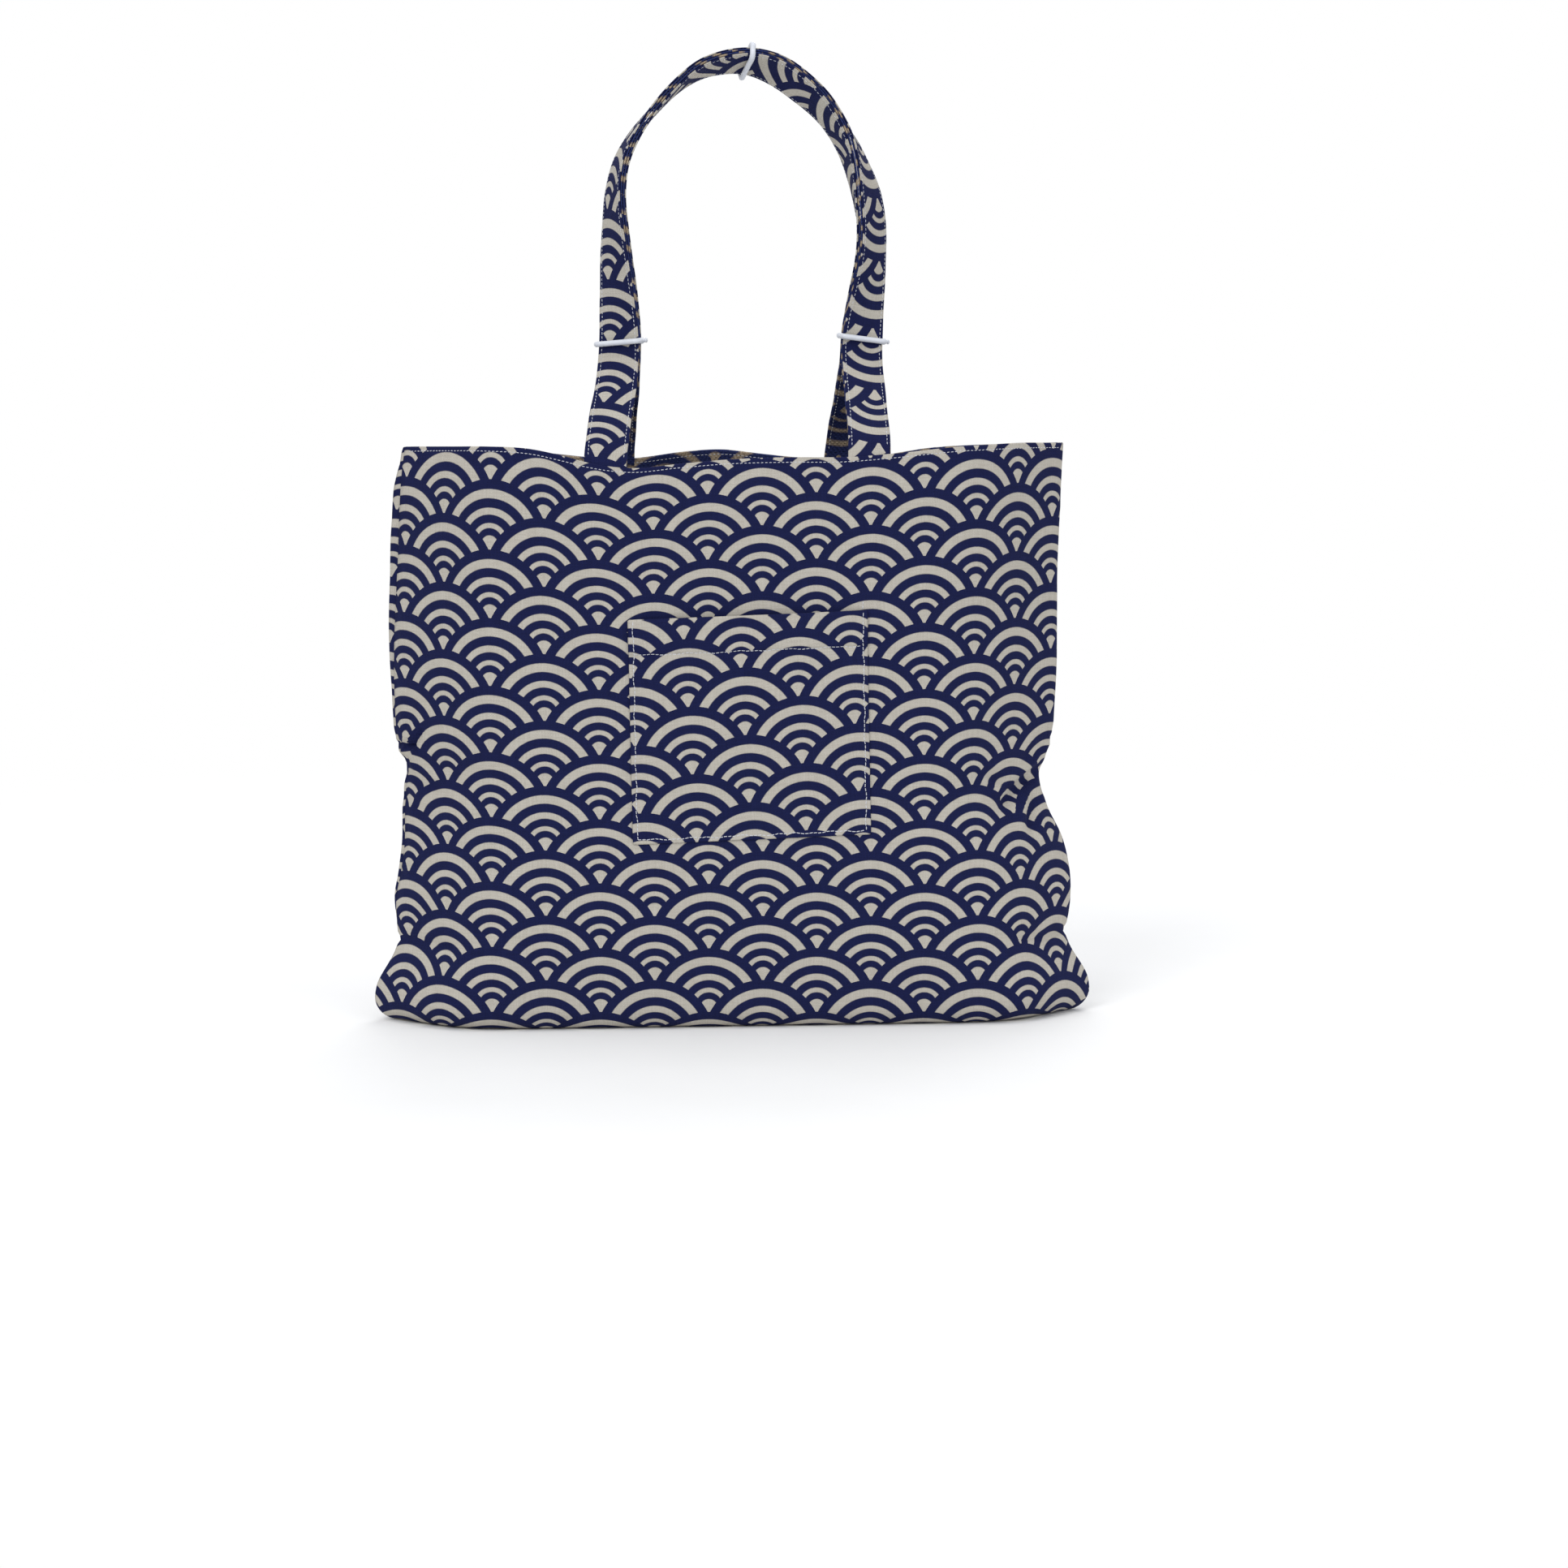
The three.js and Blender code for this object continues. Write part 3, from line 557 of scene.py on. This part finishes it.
# %% Cloth maker
def link_piece(name, mesh, finish):
    """Smooth shading, normals that all point out, and one object at the origin."""
    mesh.polygons.foreach_set("use_smooth", np.ones(len(mesh.polygons), bool))
    mesh.materials.append(finish)
    work = bmesh.new()
    work.from_mesh(mesh)
    bmesh.ops.recalc_face_normals(work, faces=work.faces)
    work.to_mesh(mesh)
    work.free()
    piece = bpy.data.objects.new(name, mesh)
    bpy.context.collection.objects.link(piece)
    print(name, len(mesh.polygons), "faces")
    return piece


def cloth_piece(name, outer, inner, flat, finish):
    rows, columns = outer.shape[:2]
    index = np.arange(rows * columns).reshape(rows, columns)
    rim = np.concatenate([index[0, :-1], index[:-1, -1], index[-1, :0:-1], index[:0:-1, 0]])
    inward = np.concatenate([index[1, :-1], index[:-1, -2], index[-2, :0:-1], index[:0:-1, 1]])
    a, b, uv = outer.reshape(-1, 3), inner.reshape(-1, 3), flat.reshape(-1, 2)
    thick = np.linalg.norm(a[rim] - b[rim], axis=1, keepdims=True)
    away = a[rim] - a[inward]
    away = away / np.maximum(np.linalg.norm(away, axis=1, keepdims=True), 1e-9)
    edge = (a[rim] + b[rim]) / 2 + away * thick * 0.42
    points = np.concatenate([a, b, edge]) * MM
    places = np.concatenate([uv, uv, uv[rim]])
    quads = np.stack([index[:-1, :-1], index[:-1, 1:], index[1:, 1:], index[1:, :-1]], axis=2).reshape(-1, 4)
    count = rows * columns
    rolled = 2 * count + np.arange(len(rim))
    next_rim, next_rolled = np.roll(rim, -1), np.roll(rolled, -1)
    ring_a = np.stack([rim, rolled, next_rolled, next_rim], axis=1)
    ring_b = np.stack([rolled, rim + count, next_rim + count, next_rolled], axis=1)
    faces = np.concatenate([quads, quads[:, ::-1] + count, ring_a, ring_b])
    mesh = bpy.data.meshes.new(name)
    mesh.from_pydata(points.tolist(), [], faces.tolist())
    layer = mesh.uv_layers.new(name="cloth_mm")
    corner = np.empty(len(mesh.loops), int)
    mesh.loops.foreach_get("vertex_index", corner)
    layer.data.foreach_set("uv", places[corner].astype(np.float32).ravel())
    return link_piece(name, mesh, finish)


# %% [markdown]
# ## The four panels
#
# Each print is a bag of its own. The cotton one is outside and the jute one is its lining, and the two meet at the
# rim. The cloth was cut without matching the print at the seams, so each panel starts at its own place in it.

# %% Panels
# piece, node, wall, depth below the skin, finish, slot, and where in the print the panel was cut
for name, node, side, inset, finish, slot, shift in [
        ("cotton_front_cloth", "cotton_front_panel", "front", 0, cotton, "printed_cotton", (19.4, 15.6)),
        ("cotton_back_cloth", "cotton_back_panel", "back", 0, cotton, "printed_cotton", (6.0, 9.0)),
        ("jute_front_cloth", "jute_front_panel", "front", LAYER, jute, "printed_jute", (3.0, 14.0)),
        ("jute_back_cloth", "jute_back_panel", "back", LAYER, jute, "printed_jute", (-9.0, 4.0))]:
    outer, inner = [face_of(side, depth)[0] for depth in (inset, inset + CLOTH)]
    piece = cloth_piece(name, outer, inner, PRINT[side] + np.array(shift), finish)
    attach(piece, "bag")
    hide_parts(node)

# %% [markdown]
# ## Laying a patch on the wall
#
# A pocket is a patch that lies on a wall which is itself full of folds. So a place on the wall is first found from
# its width and height, by stepping towards it, and the patch then stands off that place along the wall's own
# direction.

# %% Places on a wall
def unit(vectors):
    return vectors / np.linalg.norm(vectors, axis=-1, keepdims=True)


def between(grid, row, column):
    """A place between the points of a grid."""
    r, c = np.minimum(row.astype(int), grid.shape[0] - 2), np.minimum(column.astype(int), grid.shape[1] - 2)
    fr, fc = (row - r)[..., None], (column - c)[..., None]
    return (grid[r, c] * (1 - fr) * (1 - fc) + grid[r, c + 1] * (1 - fr) * fc
            + grid[r + 1, c] * fr * (1 - fc) + grid[r + 1, c + 1] * fr * fc)


def on_wall(face, out, u, v):
    """The place on a wall at so many millimetres of cloth across from its middle and down from its rim."""
    column = np.clip((u / FLAT_WIDTH + 0.5) * COLUMNS, 0, COLUMNS - 1e-6)
    row = np.clip(np.interp(v, DOWN, np.arange(len(DOWN))), 0, len(DOWN) - 1 - 1e-6)
    return between(face, row, column), unit(between(out, row, column))


def wall_at(face, out, x, z, turned=1):
    """The place on a wall at x and z. turned is -1 on the back, where the cloth runs from right to left."""
    u, v = x * turned, TOP - z
    for _ in range(8):
        point, _ = on_wall(face, out, u, v)
        u, v = u + (x - point[..., 0]) * turned, v + (point[..., 2] - z)
    return on_wall(face, out, u, v)


# %% [markdown]
# ## Patch pockets
#
# The pocket is one piece of the same cloth, turned in at three sides and hemmed along its mouth. It was cut from
# another place in the print, so its waves run past the wall's. The hem is two layers thick. The mouth stands off
# the wall a little, because a sewn patch always has some slack.

# %% Pockets
POCKET_W, POCKET_H, HEM = 143.0, 134.5, 20.6
POCKET_X, POCKET_Z, TILT, LEAN = 5.7, 183.5, math.radians(1.9), math.radians(1.0)
GAPE = 3.0  # how far the mouth stands off the wall
# how the patch was cut from the print: a little askew and a little stretched
POCKET_GRAIN = np.array([(0.986, -0.058), (0.043, 0.971)])
# places in the patch as shares of its width and height, closer together at its edges and at its hem
POCKET_U = np.concatenate([[-1, -0.992], np.linspace(-0.975, 0.975, 61), [0.992, 1]])
POCKET_V = np.sort(np.concatenate([[0, 0.005], np.linspace(0.02, 0.98, 59), [0.995, 1],
                                   1 - np.array([HEM - 0.6, HEM, HEM + 0.6]) / POCKET_H]))


def pocket_grid(face, out, towards, turned):
    uu, vv = np.meshgrid(POCKET_U, POCKET_V)
    across, up = uu * POCKET_W / 2, (vv - 0.5) * POCKET_H
    x = POCKET_X + across * math.cos(TILT) - up * math.sin(LEAN)
    z = POCKET_Z + across * math.sin(TILT) + up * math.cos(LEAN)
    slack = ease(np.clip(vv / 0.6, 0, 1)) * (1 - np.abs(uu) ** 3)
    away = GAPE * slack + 0.25 * swell(across, up, 71, 60, 1.0) * (1 - uu**2) * slack
    edge_gap = np.minimum.reduce([(1 - np.abs(uu)) * POCKET_W / 2, vv * POCKET_H])
    seam_dip = 0.35 * np.exp(-((edge_gap - 2.2) / 0.8) ** 2)
    hem = 0.7 * np.clip((vv - (1 - HEM / POCKET_H)) * POCKET_H / 0.8, 0, 1)
    hem_dip = 0.3 * np.exp(-(((1 - vv) * POCKET_H - HEM) / 0.7) ** 2)
    point, square = wall_at(face, out, x, z, turned)
    square = square * towards
    under = point + square * (0.15 + away)[..., None]
    over = point + square * (0.15 + away + CLOTH + hem - seam_dip - hem_dip)[..., None]
    return over, under, np.stack([across, up], axis=2), square


def pocket(name, node, side, inset, towards, finish, shift, turned):
    face, out = face_of(side, inset)
    over, under, flat, square = pocket_grid(face, out, towards, turned)
    piece = cloth_piece(name, over, under, flat @ POCKET_GRAIN + np.array(shift), finish)
    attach(piece, "bag")
    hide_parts(node)
    return over, square


pockets = {
    "cotton": pocket("cotton_patch_pocket", "cotton_pocket", "front", 0, 1, cotton, (68.6, -0.5), 1),
    "jute": pocket("jute_patch_pocket", "jute_pocket", "back", LINING_FACE, -1, jute, (5.0, -6.0), -1)}

# %% [markdown]
# ## The line of the handles
#
# Each handle is a cotton strip sewn face out to a jute strip. The two handles are tied face to face at three
# places. The stack turns by more than a right angle on its way up and over, which gives the front its change from
# printed face to bare edges and back. The line is a smooth curve through a few measured places, with its turn.

# %% Handle line
STRAP = 25.0
FOOT_X = {"front": (-79.2, 77.8), "back": (-70.0, 70.0)}
ARCH_STEPS = 900

# x and height of the line where the two handles touch, and the turn of the front and of the back handle there
ARCH = np.array([
    (-69.3, 410, 22, 22), (-69.0, 425, 30, 30), (-69.6, 441, 40, 40), (-70.6, 461, 51, 51), (-71.6, 483, 64, 64),
    (-71.4, 502, 73, 73), (-67.9, 520, 80, 81), (-60.6, 534.6, 86, 88), (-48.6, 550.8, 93, 94), (-32.0, 567.6, 99, 100),
    (-18.3, 576.3, 108, 108), (-2.0, 580.1, 115, 115), (7.5, 580.6, 118, 119), (14.5, 579.6, 119, 122),
    (26.9, 575.3, 118, 127), (39.0, 567.8, 112, 126), (50.9, 558.0, 104, 120), (60.5, 546.7, 95, 112),
    (67.2, 536.3, 86, 107), (71.3, 526.7, 78, 102), (74.6, 516.0, 70, 97), (77.9, 502.0, 58, 90),
    (80.0, 487.0, 53, 85), (81.1, 470.0, 50, 74), (80.7, 455.0, 44, 60), (79.6, 440.0, 33, 41), (78.4, 424.0, 20, 22),
    (77.3, 410, 13, 13)], float)


def arch_line(count):
    """A smooth curve through the arch's places at even steps, with the turns of both handles."""
    reach = run_of(ARCH[:, :2])
    at = np.linspace(0, reach[-1], count)
    x, z, front, back = smooth(np.column_stack([reach, ARCH]), at).T
    return np.stack([x, 0 * x, z], axis=1), np.radians(front), np.radians(back)


line, *turns = arch_line(ARCH_STEPS)
along = unit(np.gradient(line, axis=0))
outward = np.stack([-along[:, 2], 0 * along[:, 0], along[:, 0]], axis=1)


def turned(angle):
    """The direction off the stack's front, and the one towards its edge nearest to the viewer."""
    c, s = np.cos(angle)[:, None], np.sin(angle)[:, None]
    return outward * s + np.array([0, -1.0, 0]) * c, -outward * c + np.array([0, -1.0, 0]) * s


tie_off, tie_across = turned((turns[0] + turns[1]) / 2)
ridge = line + tie_across * STRAP / 2


def leg(front, left):
    """From the rim up to the tie: points and the direction off the strap's front."""
    side, end_at = "front" if front else "back", 0 if left else -1
    face, out = face_of(side, 0)
    column = np.argmin(np.abs(face[0, :, 0] - FOOT_X[side][end_at]))
    normal = unit(out[0, column] * (1, 1, 0))
    start = face[0, column] - normal * (CLOTH + GAP / 2)
    normal = normal if front else -normal
    start[2] -= 4
    end_off = turned(turns[0])[0][end_at]
    end = line[end_at] + end_off * (LAYER if front else -LAYER)
    third = np.array([0, 0, (end[2] - start[2]) / 3])
    t = np.linspace(0, 1, 200)[:, None]
    points = ((1 - t) ** 3 * start + 3 * (1 - t) ** 2 * t * (start + third)
              + 3 * (1 - t) * t**2 * (end - third) + t**3 * end)
    off = unit(normal * (1 - t) + end_off * t)
    return points, off


def strap_line(front):
    """The middle of one handle from its left foot over the arch to its right foot, at even steps."""
    sign = 1 if front else -1
    left, left_off = leg(front, True)
    right, right_off = leg(front, False)
    stack_off, nearest = turned(turns[0 if front else 1])
    fan = np.clip(np.sin(turns[1] - turns[0]) / 0.3, 0, 1)
    over = ridge - nearest * STRAP / 2 + stack_off * (sign * (LAYER - 0.13 * fan))[:, None]
    points = np.concatenate([left, over, right[::-1]])
    off = np.concatenate([left_off, stack_off, right_off[::-1]])
    run = run_of(points)
    steps = np.linspace(0, run[-1], int(run[-1] / 2.4))
    points, off = on_line(steps, run, points), on_line(steps, run, off)
    kernel = np.hanning(9) / np.hanning(9).sum()
    for values, ends in [(points, {"mode": "reflect", "reflect_type": "odd"}), (off, {"mode": "edge"})]:
        for k in range(3):
            values[:, k] = np.convolve(np.pad(values[:, k], 4, **ends), kernel, mode="valid")
    way = unit(np.gradient(points, axis=0))
    off = unit(off - way * np.sum(off * way, axis=1, keepdims=True))
    return points, off, np.cross(off, way), steps


# %% [markdown]
# ## The handle strips
#
# A strip is cut about twice its width and turned in at both edges, so its edges are soft rolls and its middle is
# nearly flat. It crosses the place where the handles bend over the ties.

# %% Handle strips
HALF = STRAP / 2
STRAP_SEAM = 1.8  # the line of stitches, from the strap's edge
STRIP_OFF, THREAD_OFF = 0.62, 1.13  # the middle of a strip and its stitches, from the middle of the handle
ACROSS = np.concatenate([[-1, -0.975, -0.93], np.linspace(-0.84, 0.84, 9), [0.93, 0.975, 1]]) * HALF
# where the drops of the print lie along the front handle, and how many double rows of waves that is
DROPS = np.array([(-26.0, -1), (14.5, 0), (53.2, 1), (94.2, 2), (132.9, 3), (430.2, 10), (466.4, 11), (548.6, 13),
                  (627.5, 15)])


def strip(name, path, towards, finish, shift, replaced):
    points, off, across, run = path
    middle = towards * STRIP_OFF
    wobble = 0.25 * np.sin(run / 17.0 + middle) + 0.15 * np.sin(run / 5.3)
    side = ACROSS[None, :] + wobble[:, None]
    roll = 1 - np.clip((np.abs(ACROSS) - HALF + 1.1) / 1.1, 0, 1) ** 2 * (0.5 if finish is cotton else 0.15)
    dip = 0.16 * np.exp(-((np.abs(ACROSS) - HALF + STRAP_SEAM) / 0.6) ** 2)
    grids = []
    for face in (1, -1):
        reach = middle + face * CLOTH / 2 * (roll - (dip if face == towards else 0))
        grids.append(points[:, None] + across[:, None] * side[..., None] + off[:, None] * reach[None, :, None])
    place = np.interp(run, *DROPS.T) * 2 * ROW_PITCH * RING
    flat = np.stack(np.meshgrid(ACROSS + shift[0], shift[2] * place + shift[1]), axis=2)
    piece = cloth_piece(name, grids[0], grids[1], flat, finish)
    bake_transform(piece)
    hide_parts(*replaced)


# The shift of the print is across the strip and along it. A third number of -1 turns the print over.
handles = {}
for which, sign, shift in [("front", 1, (-5.6, 1.0, 1)), ("back", -1, (12.0, -8.0, -1))]:
    handles[which] = path = strap_line(which == "front")
    for cloth, finish, towards, begin in [("cotton", cotton, sign, shift), ("jute", jute, -sign, (4.0, 3.0, 1))]:
        strip(f"{which}_handle_{cloth}", path, towards, finish, begin,
              [f"{which}_{part}_{cloth}" for part in ("left_leg", "arch", "right_leg")])


# %% [markdown]
# ## Topstitching
#
# A lockstitch shows as short dashes of thread that sink into the cloth at both ends. One small dash is made and
# repeated along a line on the surface, leaning a little from stitch to stitch, as a machine lays them. A new stitch
# starts every 2.5 mm. The line round the pocket wavers, as on the real bag, where it was sewn by eye.

# %% Stitches
RIM_SEAM = 2.3  # the line of stitches, from the rim


def tube_faces(first, rings, sides, closed=False):
    """The faces between rings of points that follow each other."""
    return [(first + r * sides + s, first + r * sides + (s + 1) % sides,
             first + (r + 1) % rings * sides + (s + 1) % sides, first + (r + 1) % rings * sides + s)
            for r in range(rings if closed else rings - 1) for s in range(sides)]


def mesh_piece(name, points, faces, finish):
    mesh = bpy.data.meshes.new(name)
    mesh.from_pydata((points * MM).tolist(), [], faces)
    return link_piece(name, mesh, finish)


def stitches(name, runs, pitch=2.5, long=1.7, wide=0.46, high=0.3):
    sides = 6
    turn = np.arange(sides) / sides * 2 * math.pi
    # along the stitch, its girth and its lift there
    shape = [(-0.5, 0.30, -0.9), (-0.3, 0.9, 0.1), (0.3, 0.9, 0.1), (0.5, 0.30, -0.9)]
    points, faces = [], []
    for path, out in runs:
        run = run_of(path)
        at = np.arange(pitch / 2, run[-1] - pitch / 2, pitch)
        place, ahead, behind = [on_line(at + step, run, path) for step in (0, 0.6, -0.6)]
        square = unit(on_line(at, run, out))
        way = unit(ahead - behind)
        beside = unit(np.cross(square, way))
        lean = RNG.uniform(-0.08, 0.14, len(at))[:, None]
        way = unit(way + beside * lean)
        size = RNG.uniform(0.92, 1.08, len(at))
        for i in range(len(at)):
            first = len(points)
            for shift, girth, lift in shape:
                centre = place[i] + way[i] * (shift * long * size[i]) + square[i] * (lift * high * 0.5)
                points.extend(centre + beside[i] * (math.cos(a) * wide / 2 * girth)
                              + square[i] * (math.sin(a) * high / 2 * girth + 0.05) for a in turn)
            faces.extend(tube_faces(first, len(shape), sides))
            faces.append(tuple(range(first, first + sides))[::-1])
            faces.append(tuple(range(first + 3 * sides, first + 4 * sides)))
    return mesh_piece(name, np.array(points), faces, thread)


def rim_run(side, inset, towards):
    u = np.linspace(-FLAT_WIDTH / 2 + 3, FLAT_WIDTH / 2 - 3, 500)
    place, square = on_wall(*face_of(side, inset), u, RIM_SEAM + 0.25 * np.sin(u / 23))
    return place + square * towards * 0.02, square * towards


for name, inset, towards in [("rim_topstitch_outside", 0, 1), ("rim_topstitch_inside", LINING_FACE, -1)]:
    sewn = stitches(name, [rim_run(side, inset, towards) for side in ("front", "back")])
    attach(sewn, "bag")

for which, (points, off, across, run) in handles.items():
    lines = []
    inside = (run > 8) & (run < run[-1] - 8)
    for edge in (-1, 1):
        aside = edge * (HALF - STRAP_SEAM) + 0.25 * np.sin(run / 17.0)
        for face in (-1, 1):
            place = points + across * aside[:, None] + off * face * THREAD_OFF
            lines.append((place[inside], off[inside] * face))
    sewn = stitches(f"{which}_handle_topstitch", lines)
    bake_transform(sewn)


def pocket_run(grid, out, at_u, at_v):
    """A line across a pocket's grid from places given as shares of its width and height."""
    row = np.interp(at_v, POCKET_V, np.arange(len(POCKET_V)))
    column = np.interp(at_u, POCKET_U, np.arange(len(POCKET_U)))
    return between(grid, row, column), unit(between(out, row, column))


t = np.linspace(0, 1, 200)
inset_u, inset_v = 1 - 2 * 2.4 / POCKET_W, 2.2 / POCKET_H
upwards, sideways = t * (1 - inset_v) + inset_v, (2 * t - 1) * inset_u
waver = 0.004 * np.sin(t * 31) + 0.0025 * np.sin(t * 83 + 1)
for cloth, (grid, out) in pockets.items():
    sides = [pocket_run(grid, out, waver - inset_u, upwards),
             pocket_run(grid, out, waver[::-1] + inset_u, upwards),
             pocket_run(grid, out, sideways, inset_v + waver * 0.6),
             pocket_run(grid, out, sideways, 1 - HEM / POCKET_H + waver * 0.5)]
    if cloth == "cotton":
        # the right seam was begun above the hem, so a few stitches lie on the wall there
        x, _, z = sides[1][0][-1]
        sides.append(wall_at(*face_of("front", 0), np.linspace(x, x + 0.3, 12), np.linspace(z + 1, z + 8.5, 12)))
    sewn = stitches(f"{cloth}_pocket_stitching", sides, pitch=2.6, long=2.35, wide=0.56, high=0.34)
    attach(sewn, "bag")

# %% [markdown]
# ## The plastic loops
#
# A loop is a thin moulded strand that closes round the stack of straps and snaps into a small round head. The two
# lower ones sit a little askew, as they were pushed on by hand.

# %% Loops
LOOP_REACH = 13.9  # from the middle of the straps out to the middle of the strand
STRAND, CORNER = 1.7, 3.2  # the radius of the strand, and of the loop's corners


def loop(name, node, middle, across, off, reach_off, askew, knob, body):
    """A round strand swept along a rounded rectangle, with a tapered head at one end."""
    sides = 14
    along = np.cross(across, off)
    corners = [middle + across * sa * (LOOP_REACH - CORNER) + off * so * (reach_off - CORNER)
               for sa, so in ((1, 1), (-1, 1), (-1, -1), (1, -1))]
    centres, outs = [], []
    for corner in range(4):
        for step in range(13):
            angle = (corner + step / 12) * math.pi / 2
            out = across * math.cos(angle) + off * math.sin(angle)
            centres.append(corners[corner] + out * CORNER)
            outs.append(out)
        begin, goal = centres[-1], corners[(corner + 1) % 4] + out * CORNER
        for step in range(1, 8):
            centres.append(begin + (goal - begin) * step / 8 - out * 0.35 * math.sin(math.pi * step / 8))
            outs.append(out)
    centres, outs = np.array(centres), np.array(outs)
    centres += along * (((centres - middle) @ across) * askew)[:, None]
    turn = np.arange(sides) / sides * 2 * math.pi
    points = np.array([c + (o * math.cos(a) + along * math.sin(a)) * STRAND
                       for c, o in zip(centres, outs) for a in turn])
    faces = tube_faces(0, len(centres), sides, closed=True)
    # the outline of the head: how far out, and its radius there
    head = [(-0.6, 0.0), (-0.5, 1.2), (0.4, 2.0), (1.3, 2.0), (1.8, 1.3), (2.2, 1.0), (2.7, 1.05), (3.3, 1.45),
            (3.9, 1.4), (4.3, 0.8), (4.4, 0.0)]
    lean = (across + along * askew) * knob
    axis = unit(lean)
    beside = unit(np.cross(axis, off))
    start = middle + lean * (LOOP_REACH - 0.4)
    first = len(points)
    head_points = [start + axis * h + beside * r * math.cos(a) + off * r * math.sin(a)
                   for h, r in head[1:-1] for a in turn]
    head_points += [start + axis * head[0][0], start + axis * head[-1][0]]
    points = np.concatenate([points, head_points])
    levels = len(head) - 2
    faces += tube_faces(first, levels, sides)
    low, high = first + levels * sides, first + levels * sides + 1
    top = first + (levels - 1) * sides
    for s in range(sides):
        faces.append((low, first + (s + 1) % sides, first + s))
        faces.append((high, top + s, top + (s + 1) % sides))
    piece = mesh_piece(name, points, faces, nylon)
    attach(piece, body)
    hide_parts(node)


# piece, node, step of the arch's line, side of the head, slope, half the depth, body
for name, node, where, knob, slope, depth, body in [
        ("left_nylon_loop", "left_tie", 5, 1, -0.12, 5.0, "bag"),
        ("right_nylon_loop", "right_tie", 890, -1, 0.06, 5.0, "bag"),
        ("top_nylon_loop", "top_tie", 459, -1, -0.15, 5.2, "tied_handles")]:
    loop(name, node, line[where], tie_across[where], tie_off[where], depth, slope, knob, body)

# %% [markdown]
# ## Finish
#
# The finished bag may stand a little proud of the frame, as cloth does, but it keeps the frame's dimensions.

# %% Finish
bpy.context.scene.view_settings.view_transform = "Standard"
bpy.context.view_layer.update()
